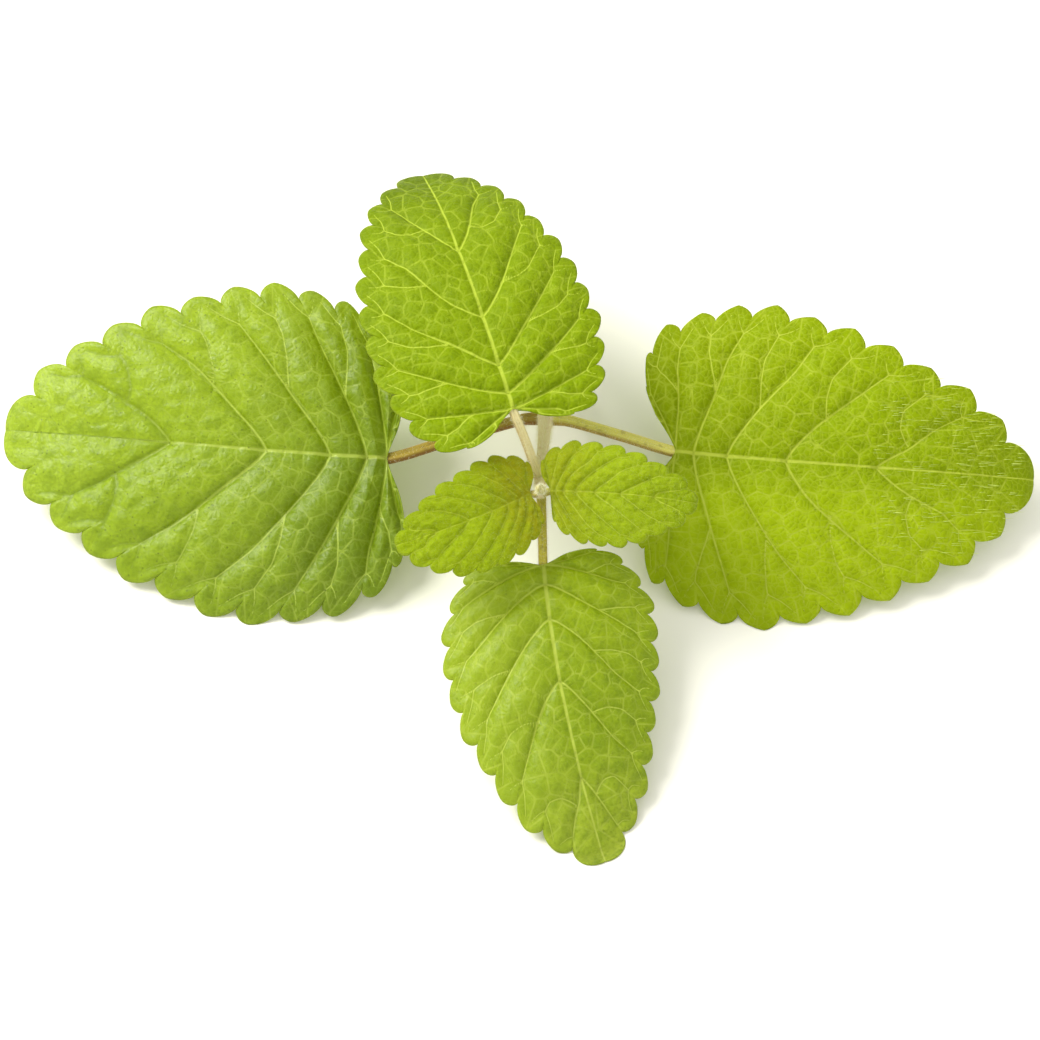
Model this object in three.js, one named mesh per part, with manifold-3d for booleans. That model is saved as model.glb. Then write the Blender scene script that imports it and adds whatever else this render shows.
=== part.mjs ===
// A cut shoot tip of lemon balm (Melissa officinalis) lying on a surface: a short square stem with
// three crossed pairs of toothed leaves, large, medium and small, and the tiny bud at its tip.
// Millimetres, +Z up. The origin is on the surface, under the middle of the sprig.
import * as THREE from 'three';
import { mergeVertices } from 'three/addons/utils/BufferGeometryUtils.js';
import Module from 'manifold-3d';

const wasm = await Module();
wasm.setup();

// ---- driving dimensions -------------------------------------------------------------------------

const MIDDLE = [-0.52, 1.46];        // where the middle of the sprig lies in the shoot's own frame
const BLADE_THICKNESS = 0.6;
const RESTING_HEIGHT = 0.8;          // the underside lies flat on the surface where it comes this near
const GAP = 0.3;                     // clearance between neighbouring solids

// The stem rises from its cut end, through the node of the large pair, to the apex.
const LARGE_NODE = [4, 17.5, 9];
const MEDIUM_NODE = [3, 1, 19];
const APEX = [3, -2.8, 21.2];
const STEM_PATH = [[5, 31.5, 0.95], [4.5, 25, 5], LARGE_NODE, [3.5, 9, 14.4], MEDIUM_NODE, APEX];
const STEM_WIDTH = 2.8;              // across the flats at the cut end
const STEM_TIP_WIDTH = 1.4;
const NODE_SWELLING = 0.28;          // extra width of the stem at a node, as a share
const NODE_LENGTH = 1.6;

const BUD_WIDTH = 1.5;
const BUD_HEIGHT = 2.3;
const BUD_RINGS = 7;
const BUD_SIDES = 10;
const STEM_STEPS = 24;
const STEM_SQUARENESS = 0.13;
const STEM_COLOUR = 0xb5a66b;
const BUD_COLOUR = 0xd9d3a2;

// Teeth: where the crest lies between two notches, how steep the sides are, and how far a notch cuts
// in from the smooth outline, as a share of the tooth.
const CREST = 0.55;
const STEEPNESS = 0.62;
const NOTCH_CUT = 0.15;
const TOOTH_LEAN = 0.6;              // teeth lean toward the tip less than the side veins do
const LAST_NOTCH = 0.93;             // the notch beside the end lobe, as a share of the margin
const TOOTH_SAMPLES = [0, 0.2, CREST, 0.86];
const LOBE_SAMPLES = [0, 0.2, 0.45, 0.7, 1];
const BASE_OPENING = 0.6;            // half the width of the notch that the petiole enters

// The outline of a half blade: how round its parts are, and how its notches are spaced.
const ROUND = 0.55;                  // handles of a quarter turn, as a share of its span
const LOBE_ENTRY = [0.5, 0.4];       // how the margin runs back from the petiole round the lobe
const NOSE_REACH = 1.06;             // the nose leans past the notches beside the end lobe
const NOSE_WIDTH = 0.4;              // as a share of the half's width
const END_LOBE = 0.06;               // the end lobe, as a share of the leaf's length
const FIRST_NOTCH = 0.07;            // the first notch, as a share of the margin
const TOOTH_GROWTH = 1.1;            // over 1 makes the teeth longer toward the tip

// Rows of the blade from the midrib to the notches; the toothed margin is one more row outside them.
const ROWS = [0, 0.1, 0.31, 0.53, 0.74, 0.9];
const VEIN_CURVE = 1.25;             // side veins bend toward the tip
const VEIN_SPREAD = 2.6;             // side veins leave the midrib closer together near the base
const VEIN_START = 0.1;
const TEETH_PER_VEIN = 2;
const FIRST_ROOT = 0.02;             // side veins that start nearer the base than this start at it
const LAST_ROOT = 0.93;              // where the last side veins leave the midrib
const RIB_DEPTH = 0.3;
const QUILT_ROOM = 0.3;              // pillows are full height past this share of the half width

// Petioles leave the stem square to it, flare at the foot and end under the blade's keel.
const KEEL_SHARE = 0.45;             // depth of the keel at the base, as a share of the petiole
const STALK_COVER = 0.2;             // how far under the upper face the stalk's back lies
const STALK_LEAD = 1.2;
const STALK_STEP = 3.0;
const STALK_OVERLAP = [0, 0.05, 0.1];
const FOOT_FLARE = 0.25;
const FOOT_LENGTH = 2.0;

// Each leaf: where its blade starts, the way it points, how it bends, and its two half outlines.
// heading and pitch are the blade's first direction in degrees; droop and sweep are how much it has
// turned down and sideways at the tip; roll and twist tilt it about its midrib; fold is the rise of
// each half at the midrib and curl its fall at the margin.
// A half outline has two places, as [along, out] from the blade's base: the hindmost of its lobe and
// its widest. full is how much fuller than a straight taper the blade stays from there to the tip.
// tooth is how far a crest stands out, and blunt how rounded it is: 1 is a point, 2 a round arch.
const LEAVES = {
  leaf_large_left: {
    base: [-20.5, 9, 11.5], heading: 180, pitch: 5, droop: 25, sweep: -15, roll: -20, twist: -5,
    fold: 5, curl: 20, length: 62, left: { lobe: [-3, 12], widest: [19, 25] },
    right: { lobe: [-2, 9], widest: [18, 25] }, full: 0.32, tooth: 2.1, teeth: 12, blunt: 1.6, quilt: 0.75,
    seed: 1, node: LARGE_NODE, clearance: 2.0, petiole: 1.7, colour: 0x7fa31c,
  },
  leaf_large_right: {
    base: [24, 10.5, 11], heading: -10, pitch: 5, droop: 25, sweep: 15, roll: 20, twist: 5,
    fold: 5, curl: 20, length: 57, left: { lobe: [-6, 13], widest: [12, 23] },
    right: { lobe: [-4, 11], widest: [14, 24.5] }, full: 0.25, tooth: 2.0, teeth: 12, blunt: 1.25, quilt: 0.6,
    seed: 2, node: LARGE_NODE, clearance: 2.0, petiole: 1.7, colour: 0x8fae22,
  },
  leaf_medium_back: {
    base: [-1, 7.5, 29], heading: 107, pitch: 10, droop: 50, sweep: 0, roll: 0, twist: 5,
    fold: 5, curl: 20, length: 53, left: { lobe: [-4, 8], widest: [14, 17] },
    right: { lobe: [-3, 8], widest: [14, 16] }, full: 0.44, tooth: 1.7, teeth: 12, blunt: 1.6, quilt: 0.5,
    seed: 3, node: MEDIUM_NODE, clearance: 1.5, petiole: 1.35, colour: 0x93b62a,
  },
  leaf_medium_front: {
    base: [3.5, -11, 14.5], heading: -85, pitch: -10, droop: 25, sweep: 15, roll: 0, twist: 0,
    fold: 0, curl: 25, length: 46, left: { lobe: [-2, 7], widest: [10, 15.5] },
    right: { lobe: [-1, 7], widest: [14, 16] }, full: 0.36, tooth: 1.5, teeth: 11, blunt: 1.7, quilt: 0.6,
    seed: 4, node: MEDIUM_NODE, clearance: 1.5, petiole: 1.35, colour: 0xa6c236,
  },
  leaf_small_left: {
    base: [1.5, -3, 22], heading: 215, pitch: 10, droop: 20, sweep: -20, roll: -20, twist: 0,
    fold: 10, curl: 20, length: 22, left: { lobe: [0, 3], widest: [10, 7.5] },
    right: { lobe: [-2, 3.5], widest: [5, 7] }, full: 0.42, tooth: 0.9, teeth: 8, blunt: 1.6, quilt: 0.35,
    seed: 5, node: APEX, clearance: 1.15, petiole: 0.9, colour: 0x9ab53a,
  },
  leaf_small_right: {
    base: [4.5, -2.5, 22], heading: -7, pitch: 10, droop: 20, sweep: 0, roll: 20, twist: 0,
    fold: 10, curl: 20, length: 22, left: { lobe: [-1.5, 3.5], widest: [5, 7] },
    right: { lobe: [0.5, 3], widest: [9, 7.5] }, full: 0.38, tooth: 0.9, teeth: 8, blunt: 1.6, quilt: 0.35,
    seed: 6, node: APEX, clearance: 1.15, petiole: 0.9, colour: 0xa3b93e,
  },
};

// The end lobe stands out past its notches, which close the smooth outline.
Object.values(LEAVES).forEach((leaf) => {
  leaf.lobe = END_LOBE * leaf.length;
  leaf.end = leaf.length - leaf.lobe;
});

// ---- small helpers ------------------------------------------------------------------------------

const degrees = THREE.MathUtils.degToRad;
const clamp = THREE.MathUtils.clamp;
const vec = (p) => new THREE.Vector3(...p);

function closedGeometry(points, triangles) {
  const geometry = new THREE.BufferGeometry();
  const numbers = points.flatMap((point) => point.toArray());
  geometry.setAttribute('position', new THREE.Float32BufferAttribute(numbers, 3));
  geometry.setIndex(triangles.flat());
  return mergeVertices(geometry, 1e-4);
}

function dropSlivers(geometry) {
  const index = geometry.getIndex().array;
  const kept = [];
  for (let i = 0; i < index.length; i += 3) {
    const [a, b, c] = [index[i], index[i + 1], index[i + 2]];
    if (a !== b && b !== c && c !== a) kept.push(a, b, c);
  }
  geometry.setIndex(kept);
  return geometry;
}

function toSolid(geometry) {
  return new wasm.Manifold(new wasm.Mesh({
    numProp: 3,
    vertProperties: new Float32Array(geometry.getAttribute('position').array),
    triVerts: new Uint32Array(geometry.getIndex().array),
  }));
}

function fromSolid(solid) {
  const mesh = solid.getMesh();
  const geometry = new THREE.BufferGeometry();
  geometry.setAttribute('position', new THREE.Float32BufferAttribute(mesh.vertProperties, 3));
  geometry.setIndex(Array.from(mesh.triVerts));
  return geometry;
}

// A closed tube along a curve; radiusAt(u) gives its half width and squareness makes it four-sided.
function taperedTube(curve, steps, sides, radiusAt, squareness = 0) {
  const frames = curve.computeFrenetFrames(steps, false);
  const points = [];
  const triangles = [];
  for (let i = 0; i <= steps; i += 1) {
    const u = i / steps;
    const centre = curve.getPointAt(u);
    for (let j = 0; j < sides; j += 1) {
      const angle = (2 * Math.PI * j) / sides;
      const flat = 1 + squareness * Math.cos(4 * angle);
      const radius = radiusAt(u) * flat;
      points.push(centre.clone()
        .addScaledVector(frames.normals[i], radius * Math.cos(angle))
        .addScaledVector(frames.binormals[i], radius * Math.sin(angle)));
    }
  }
  for (let i = 0; i < steps; i += 1) {
    for (let j = 0; j < sides; j += 1) {
      const a = i * sides + j;
      const b = i * sides + ((j + 1) % sides);
      triangles.push([a, b, b + sides], [a, b + sides, a + sides]);
    }
  }
  const last = steps * sides;
  for (let j = 1; j < sides - 1; j += 1) {
    triangles.push([0, j + 1, j], [last, last + j, last + j + 1]);
  }
  return closedGeometry(points, triangles);
}

// ---- the leaf's outline -------------------------------------------------------------------------

// A smooth half outline through the notches: round the lobe, up to the widest place, to the tip.
function halfOutline(side, leaf) {
  const [back, lobeOut] = side.lobe;
  const [widestAt, half] = side.widest;
  const place = (along, out) => new THREE.Vector2(along, out);
  const path = new THREE.CurvePath();
  path.add(new THREE.CubicBezierCurve(
    place(0, BASE_OPENING), place(LOBE_ENTRY[0] * back, LOBE_ENTRY[1] * lobeOut),
    place(back, (1 - ROUND) * lobeOut), place(back, lobeOut)));
  path.add(new THREE.CubicBezierCurve(
    place(back, lobeOut), place(back, lobeOut + ROUND * (half - lobeOut)),
    place(widestAt - ROUND * (widestAt - back), half), place(widestAt, half)));
  path.add(new THREE.CubicBezierCurve(
    place(widestAt, half), place(widestAt + leaf.full * (leaf.end - widestAt), half),
    place(NOSE_REACH * leaf.end, NOSE_WIDTH * half), place(leaf.end, 0)));
  path.arcLengthDivisions = 200;
  return path;
}

// The share of the margin at a tooth phase: -1 at the base, 0 at the first notch, teeth at the last.
function marginShare(phase, teeth) {
  if (phase < 0) return FIRST_NOTCH * (phase + 1);
  if (phase > teeth) return LAST_NOTCH + (1 - LAST_NOTCH) * (phase - teeth);
  return FIRST_NOTCH + (LAST_NOTCH - FIRST_NOTCH) * (phase / teeth) ** TOOTH_GROWTH;
}

// A tooth's outline at x, its distance from the crest as a share of the way to the notch.
const ogive = (x, leaf) => (1 - Math.min(x, 1) ** leaf.blunt) ** STEEPNESS;

// How far the margin stands out from the smooth outline at a tooth phase; a notch cuts in.
function toothHeight(phase, leaf) {
  if (phase < 0) return 0;
  const cut = NOTCH_CUT * leaf.tooth * clamp(phase, 0, 1);
  if (phase >= leaf.teeth) return (leaf.lobe + cut) * ogive(1 - (phase - leaf.teeth), leaf) - cut;
  const tooth = Math.floor(phase);
  const within = phase - tooth;
  const x = within < CREST ? 1 - within / CREST : (within - CREST) / (1 - CREST);
  const growing = 0.7 + 0.3 * clamp(tooth / 2, 0, 1);
  const uneven = 1 + 0.15 * Math.sin(2.3 * tooth + leaf.seed * 1.7);
  return (leaf.tooth * growing * uneven + cut) * ogive(x, leaf) - cut;
}

// ---- the leaf's surface -------------------------------------------------------------------------

// The leaf's midrib as a table of points and directions at equal steps along its length.
function midribTable(leaf) {
  const steps = 80;
  const reach = 1.15 * leaf.length;
  const table = [];
  const point = vec(leaf.base);
  let before = null;
  for (let i = 0; i <= steps; i += 1) {
    const share = (i / steps) * 1.15;
    const pitch = degrees(leaf.pitch - leaf.droop * share ** 1.5);
    const heading = degrees(leaf.heading + leaf.sweep * share);
    const along = new THREE.Vector3(
      Math.cos(pitch) * Math.cos(heading), Math.cos(pitch) * Math.sin(heading), Math.sin(pitch));
    if (before) point.addScaledVector(before.clone().add(along), reach / steps / 2);
    before = along;
    table.push({ point: point.clone(), along, heading });
  }
  return { table, step: reach / steps };
}

// The place on the leaf's bent sheet that lies s along the midrib and t to its left.
function sheetPoint(leaf, midrib, s, t) {
  const at = clamp(s / midrib.step, 0, midrib.table.length - 1.001);
  const i = Math.floor(at);
  const low = midrib.table[i];
  const high = midrib.table[i + 1];
  const along = low.along.clone().lerp(high.along, at - i).normalize();
  const point = low.point.clone().lerp(high.point, at - i).addScaledVector(along, Math.min(s, 0));
  const heading = low.heading + (high.heading - low.heading) * (at - i);
  const level = new THREE.Vector3(-Math.sin(heading), Math.cos(heading), 0);
  const rise = along.clone().cross(level);
  const roll = degrees(leaf.roll + leaf.twist * clamp(s / leaf.length, 0, 1));
  const across = level.clone().multiplyScalar(Math.cos(roll)).addScaledVector(rise, Math.sin(roll));
  const up = rise.multiplyScalar(Math.cos(roll)).addScaledVector(level, -Math.sin(roll));
  const half = (t >= 0 ? leaf.left : leaf.right).widest[1];
  const fold = degrees(leaf.fold);
  const curl = degrees(leaf.curl);
  const bend = (curl * Math.abs(t)) / half;
  const out = (half * (Math.sin(fold) - Math.sin(fold - bend))) / curl;
  const lift = (half * (Math.cos(fold - bend) - Math.cos(fold))) / curl;
  return point.addScaledVector(across, Math.sign(t) * out).addScaledVector(up, lift);
}

function sheetNormal(leaf, midrib, s, t) {
  const d = 0.2;
  const ds = sheetPoint(leaf, midrib, s + d, t).sub(sheetPoint(leaf, midrib, s - d, t));
  const dt = sheetPoint(leaf, midrib, s, t + d).sub(sheetPoint(leaf, midrib, s, t - d));
  return ds.cross(dt).normalize();
}

// How near a tooth phase is to a side vein: 0 on a vein, 1 half way between two.
const betweenVeins = (phase) => Math.abs(Math.sin((Math.PI * (phase + 1)) / TEETH_PER_VEIN));

// The rise between side veins: pillows that fade out at the midrib and at the margin.
// They flatten where the half blade is narrow.
function quilting(leaf, { t, phase, row }) {
  const room = clamp(Math.abs(t) / (QUILT_ROOM * leaf.left.widest[1]), 0, 1);
  return leaf.quilt * room * (betweenVeins(phase) ** 0.8 - 0.5) * Math.sin(Math.PI * clamp(row, 0, 1)) ** 0.7;
}

// The ribs on the underside: the keel of the midrib, and a side vein fading toward the margin.
function ribDepth(leaf, { s, phase, row }) {
  if (row === 0) return leaf.petiole * KEEL_SHARE * (1 - 0.8 * clamp(s / leaf.end, 0, 1));
  return betweenVeins(phase) < 0.01 ? RIB_DEPTH * Math.sin(Math.PI * clamp(row, 0, 1)) : 0;
}

function marginPhases(leaf) {
  const phases = [-1, -0.66, -0.33];
  for (let tooth = 0; tooth < leaf.teeth; tooth += 1) {
    TOOTH_SAMPLES.forEach((within) => phases.push(tooth + within));
  }
  LOBE_SAMPLES.forEach((within) => phases.push(leaf.teeth + within));
  return phases;
}

// Where a column of the blade leaves the midrib, the same on both sides.
function veinRoot(phase, leaf) {
  const share = marginShare(phase, leaf.teeth);
  const root = LAST_ROOT * leaf.end * clamp((share - VEIN_START) / (1 - VEIN_START), 0, 1) ** VEIN_SPREAD;
  return root < FIRST_ROOT * leaf.end ? 0 : root;
}

// One half of the blade in flat leaf measure: a column for each phase, with the midrib first. Each
// tooth stands out from its notches and leans toward the tip.
function halfGrid(leaf, side, sign) {
  const outline = halfOutline(side, leaf);
  const phases = marginPhases(leaf);
  return phases.map((phase, column) => {
    const isTip = column === phases.length - 1;
    const notch = outline.getPointAt(marginShare(phase, leaf.teeth));
    const root = veinRoot(isTip ? phases[column - 1] : phase, leaf);
    const lean = new THREE.Vector2((notch.x - root) * TOOTH_LEAN, notch.y).normalize();
    const margin = notch.clone().addScaledVector(lean, toothHeight(phase, leaf));
    return [
      ...ROWS.map((row) => (
        { s: root + (notch.x - root) * row ** VEIN_CURVE, t: sign * notch.y * row, phase, row })),
      { s: margin.x, t: sign * margin.y, phase, row: 1 },
    ];
  });
}

// The blade: columns along the margin and rows out from the midrib, thickened downward. Both faces
// have the same triangles, and the rim closes them along their open edges.
function bladeGeometry(leaf, midrib) {
  const top = [];
  const under = [];
  const known = new Map();
  const place = (cell) => {
    const { s, t } = cell;
    const key = `${s.toFixed(3)},${(Math.abs(t) < 1e-6 ? 0 : t).toFixed(3)}`;
    if (known.has(key)) return known.get(key);
    const normal = sheetNormal(leaf, midrib, s, t);
    const upper = sheetPoint(leaf, midrib, s, t).addScaledVector(normal, quilting(leaf, cell));
    const lower = upper.clone().addScaledVector(normal, -BLADE_THICKNESS - ribDepth(leaf, cell));
    upper.z = Math.max(upper.z, BLADE_THICKNESS);
    if (lower.z < RESTING_HEIGHT) lower.z = 0;
    known.set(key, top.length);
    top.push(upper);
    under.push(lower);
    return top.length - 1;
  };
  const faces = [];
  [[leaf.left, 1], [leaf.right, -1]].forEach(([side, sign]) => {
    const grid = halfGrid(leaf, side, sign).map((column) => column.map(place));
    for (let c = 0; c < grid.length - 1; c += 1) {
      for (let r = 0; r < ROWS.length; r += 1) {
        const [a, b, d, e] = [grid[c][r], grid[c + 1][r], grid[c + 1][r + 1], grid[c][r + 1]];
        [[a, b, d], [a, d, e]].forEach(([p, q, w]) => {
          if (p !== q && q !== w && w !== p) faces.push(sign > 0 ? [p, q, w] : [p, w, q]);
        });
      }
    }
  });
  const count = top.length;
  const edges = new Set(faces.flatMap(([p, q, w]) => [`${p},${q}`, `${q},${w}`, `${w},${p}`]));
  const triangles = faces.flatMap(([p, q, w]) => [[p, q, w], [p + count, w + count, q + count]]);
  edges.forEach((edge) => {
    const [p, q] = edge.split(',').map(Number);
    if (!edges.has(`${q},${p}`)) triangles.push([q, p, p + count], [q, p + count, q + count]);
  });
  return closedGeometry([...top, ...under], triangles);
}

// ---- the stem's line ----------------------------------------------------------------------------

const stemCurve = () => new THREE.CatmullRomCurve3(STEM_PATH.map(vec), false, 'centripetal');

function nearestShare(curve, point) {
  let best = 0;
  for (let i = 0; i <= 100; i += 1) {
    const share = i / 100;
    const nearer = curve.getPointAt(share).distanceTo(point) < curve.getPointAt(best).distanceTo(point);
    if (nearer) best = share;
  }
  return best;
}

function stemDirection(point) {
  const curve = stemCurve();
  return curve.getTangentAt(nearestShare(curve, point));
}

// ---- the leaf's stalk ---------------------------------------------------------------------------

// The petiole from its node to the blade, ending inside the keel.
function stalkGeometry(leaf, midrib) {
  const stalk = leaf.petiole / 2;
  const node = vec(leaf.node);
  const axis = stemDirection(node);
  const away = vec(leaf.base).sub(node);
  const square = away.clone().addScaledVector(axis, -away.dot(axis)).normalize();
  const reach = away.length();
  const start = node.clone().addScaledVector(square, leaf.clearance);
  const path = [start];
  if (reach > 4) {
    const lead = start.clone().addScaledVector(square, STALK_LEAD);
    path.push(lead, lead.clone().lerp(vec(leaf.base), 0.5));
  }
  STALK_OVERLAP.forEach((share) => {
    const s = share * leaf.end;
    const normal = sheetNormal(leaf, midrib, Math.max(s, 0.3), 0);
    path.push(sheetPoint(leaf, midrib, s, 0).addScaledVector(normal, -stalk * (1 - share * 4) - STALK_COVER));
  });
  const curve = new THREE.CatmullRomCurve3(path, false, 'centripetal');
  const whole = curve.getLength();
  const overlap = 1 - (STALK_OVERLAP.at(-1) * leaf.end) / whole;
  const radiusAt = (u) => {
    const foot = FOOT_FLARE * Math.exp(-(u * whole) / FOOT_LENGTH);
    return stalk * (1 + foot) * (1 - 0.45 * clamp((u - overlap) / (1 - overlap), 0, 1));
  };
  return taperedTube(curve, Math.round(5 + whole / STALK_STEP), 8, radiusAt);
}

function leafGeometry(leaf) {
  const midrib = midribTable(leaf);
  const blade = toSolid(bladeGeometry(leaf, midrib));
  return fromSolid(blade.add(toSolid(stalkGeometry(leaf, midrib))));
}

// ---- the stem and the bud -----------------------------------------------------------------------

function stemGeometry() {
  const curve = stemCurve();
  const length = curve.getLength();
  const nodes = [LARGE_NODE, MEDIUM_NODE].map((node) => nearestShare(curve, vec(node)));
  const radiusAt = (u) => {
    const plain = (STEM_WIDTH + (STEM_TIP_WIDTH - STEM_WIDTH) * u) / 2;
    const swelling = nodes.reduce((sum, node) => (
      sum + NODE_SWELLING * Math.exp(-((((u - node) * length) / NODE_LENGTH) ** 2))), 0);
    return plain * (1 + swelling);
  };
  const geometry = taperedTube(curve, STEM_STEPS, 8, radiusAt, STEM_SQUARENESS);
  const position = geometry.getAttribute('position');
  for (let i = 0; i < position.count; i += 1) position.setZ(i, Math.max(position.getZ(i), 0));
  return geometry;
}

// The closed bud: an upright drop, widest low down.
function budGeometry() {
  const profile = [];
  for (let i = 0; i <= BUD_RINGS; i += 1) {
    const share = i / BUD_RINGS;
    const radius = (BUD_WIDTH / 2) * Math.sin(Math.PI * share ** 0.75) ** 0.8;
    profile.push(new THREE.Vector2(i === 0 || i === BUD_RINGS ? 0 : radius, share * BUD_HEIGHT));
  }
  const geometry = new THREE.LatheGeometry(profile, BUD_SIDES).rotateX(Math.PI / 2);
  geometry.deleteAttribute('normal');
  geometry.deleteAttribute('uv');
  return dropSlivers(mergeVertices(geometry, 1e-3));
}

// ---- the sprig ----------------------------------------------------------------------------------

function named(name, geometry, colour, roughness) {
  geometry.computeVertexNormals();
  const material = new THREE.MeshStandardMaterial({ color: colour, roughness, metalness: 0 });
  const mesh = new THREE.Mesh(geometry, material);
  mesh.name = name;
  return mesh;
}

function sprig() {
  const group = new THREE.Group();
  group.add(named('stem', stemGeometry(), STEM_COLOUR, 0.6));
  Object.entries(LEAVES).forEach(([name, leaf]) => {
    group.add(named(name, leafGeometry(leaf), leaf.colour, 0.55));
  });
  const bud = named('bud', budGeometry(), BUD_COLOUR, 0.8);
  bud.position.set(...APEX).add(new THREE.Vector3(0, 0, STEM_TIP_WIDTH / 2 + GAP));
  group.add(bud);
  group.position.set(-MIDDLE[0], -MIDDLE[1], 0);
  return group;
}

export default sprig();
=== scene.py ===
# %% [markdown]
# This lesson dresses a cut shoot tip of lemon balm that lies on a pale surface: a square, hairy
# stem, three crossed pairs of toothed leaves and a pale bud. A leaf could be a flat card with a
# picture on it, but a card has no thickness, no pillows and no hairs, and it looks like paper from
# the side. So each leaf is a thin closed blade in mesh code, with veins that shape it.

# %% Load the frame
import math

import bpy
import numpy as np
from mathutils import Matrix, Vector


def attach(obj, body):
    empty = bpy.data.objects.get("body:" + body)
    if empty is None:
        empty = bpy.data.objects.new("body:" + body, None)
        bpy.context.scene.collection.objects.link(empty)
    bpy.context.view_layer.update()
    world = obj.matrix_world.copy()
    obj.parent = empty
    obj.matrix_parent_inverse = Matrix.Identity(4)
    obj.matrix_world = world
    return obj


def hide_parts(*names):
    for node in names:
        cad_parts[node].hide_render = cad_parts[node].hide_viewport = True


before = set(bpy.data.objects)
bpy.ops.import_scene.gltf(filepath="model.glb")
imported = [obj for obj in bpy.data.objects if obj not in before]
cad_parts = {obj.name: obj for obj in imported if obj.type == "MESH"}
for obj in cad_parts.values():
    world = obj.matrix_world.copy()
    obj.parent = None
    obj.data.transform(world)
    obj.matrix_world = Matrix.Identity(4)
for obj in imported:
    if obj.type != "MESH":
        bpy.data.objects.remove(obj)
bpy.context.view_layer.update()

# %% [markdown]
# The leaves are measured in millimetres, in the shoot's own frame, and shifted once so that the
# middle of the sprig stands on the origin. A colour is written as it looks on a screen, from 0 to
# 255, and turned into the linear light that a shader wants.

# %% Units and colours
MM = 0.001
MIDDLE = np.array([-0.52, 1.46, 0.0])


def tone(red, green, blue):
    shown = np.array([red, green, blue]) / 255
    linear = np.where(shown <= 0.04045, shown / 12.92, ((shown + 0.055) / 1.055) ** 2.4)
    return (*linear.tolist(), 1.0)


def to_world(points):
    return (points - MIDDLE) * MM


print("a leaf green in linear light:", tone(137, 159, 22))

# %% [markdown]
# The camera looks down on the sprig from the front, 62 degrees above the surface, with a long
# lens so that near and far leaves keep their sizes. It could be placed by eye; here the direction
# and the distance are given, and the rotation follows from them.

# %% Camera
CAMERA_ELEVATION = math.radians(62)
CAMERA_DISTANCE = 400 * MM
LENS = 90
SENSOR = 36
TARGET_HEIGHT = 8 * MM
target = Vector((-MIDDLE[0] * MM, -MIDDLE[1] * MM, TARGET_HEIGHT))
back = Vector((0, -math.cos(CAMERA_ELEVATION), math.sin(CAMERA_ELEVATION)))

camera_data = bpy.data.cameras.new("camera")
camera_data.lens, camera_data.sensor_width = LENS, SENSOR
camera_data.clip_start, camera_data.clip_end = 0.01, 10
camera = bpy.data.objects.new("camera", camera_data)
camera.location = target + back * CAMERA_DISTANCE
camera.rotation_mode = "QUATERNION"
camera.rotation_quaternion = (-back).to_track_quat("-Z", "Y")
bpy.context.scene.collection.objects.link(camera)
bpy.context.scene.camera = camera
print("the camera stands at", tuple(round(v, 3) for v in camera.location))

# %% [markdown]
# Leaves on a white ground need light from everywhere and one large soft lamp that gives the
# blades their gloss and a weak shadow. A small lamp would throw hard shadows, and light from the
# sky alone would leave the leaves flat. The lamp stands high on the left, behind the sprig.

# %% Floor and light
FLOOR_SIZE = 6.0
FLOOR_TONE = (0.95, 0.935, 0.84, 1)
SKY_TONE = (1.0, 0.995, 0.98, 1)
SKY_STRENGTH = 0.93
LAMP_TONE = (1.0, 0.985, 0.95)
LAMP_DIRECTION = Vector((-0.62, 0.32, 0.72)).normalized()
LAMP_DISTANCE = 0.9
LAMP_SIZE = 0.55
LAMP_POWER = 9.5

bpy.context.scene.view_settings.view_transform = "Standard"
world = bpy.data.worlds.new("studio")
bpy.context.scene.world = world
world.use_nodes = True
sky = world.node_tree.nodes["Background"]
sky.inputs["Color"].default_value = SKY_TONE
sky.inputs["Strength"].default_value = SKY_STRENGTH

lamp_data = bpy.data.lights.new("soft_lamp", "AREA")
lamp_data.shape, lamp_data.size, lamp_data.energy = "DISK", LAMP_SIZE, LAMP_POWER
lamp_data.color = LAMP_TONE
lamp = bpy.data.objects.new("soft_lamp", lamp_data)
lamp.location = LAMP_DIRECTION * LAMP_DISTANCE
lamp.rotation_mode = "QUATERNION"
lamp.rotation_quaternion = (-LAMP_DIRECTION).to_track_quat("-Z", "Y")
bpy.context.scene.collection.objects.link(lamp)

half_floor = FLOOR_SIZE / 2
floor_mesh = bpy.data.meshes.new("floor")
floor_mesh.from_pydata(
    [(-half_floor, -half_floor, 0), (half_floor, -half_floor, 0),
     (half_floor, half_floor, 0), (-half_floor, half_floor, 0)], [], [(0, 1, 2, 3)])
floor = bpy.data.objects.new("floor", floor_mesh)
bpy.context.scene.collection.objects.link(floor)
floor_finish = bpy.data.materials.new("pale_floor")
floor_finish.use_nodes = True
floor_shader = floor_finish.node_tree.nodes["Principled BSDF"]
floor_shader.inputs["Base Color"].default_value = FLOOR_TONE
floor_shader.inputs["Roughness"].default_value = 0.9
floor_shader.inputs["Specular IOR Level"].default_value = 0.1
floor_mesh.materials.append(floor_finish)
print("one soft lamp, a white sky and a pale floor")

# %% [markdown]
# Each leaf is told by a few numbers that a botanist could measure: where the blade starts, the way
# it points, how far it droops and sweeps to the tip, how it tilts and curls, and its outline. The
# two halves of a blade differ, so each has two places of its own, as (along, out) from the blade's
# base: the hindmost of its lobe and its widest. Drawing each outline by hand would work too, but
# few numbers keep all the later steps, such as veins, hairs and relief, in step with the shape.

# %% The leaves' own numbers
LARGE_NODE = (4, 17.5, 9)
MEDIUM_NODE = (3, 1, 19)
APEX = (3, -2.8, 21.2)
END_LOBE = 0.06


def half_blade(lobe, widest):
    return dict(lobe=lobe, widest=widest)


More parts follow.
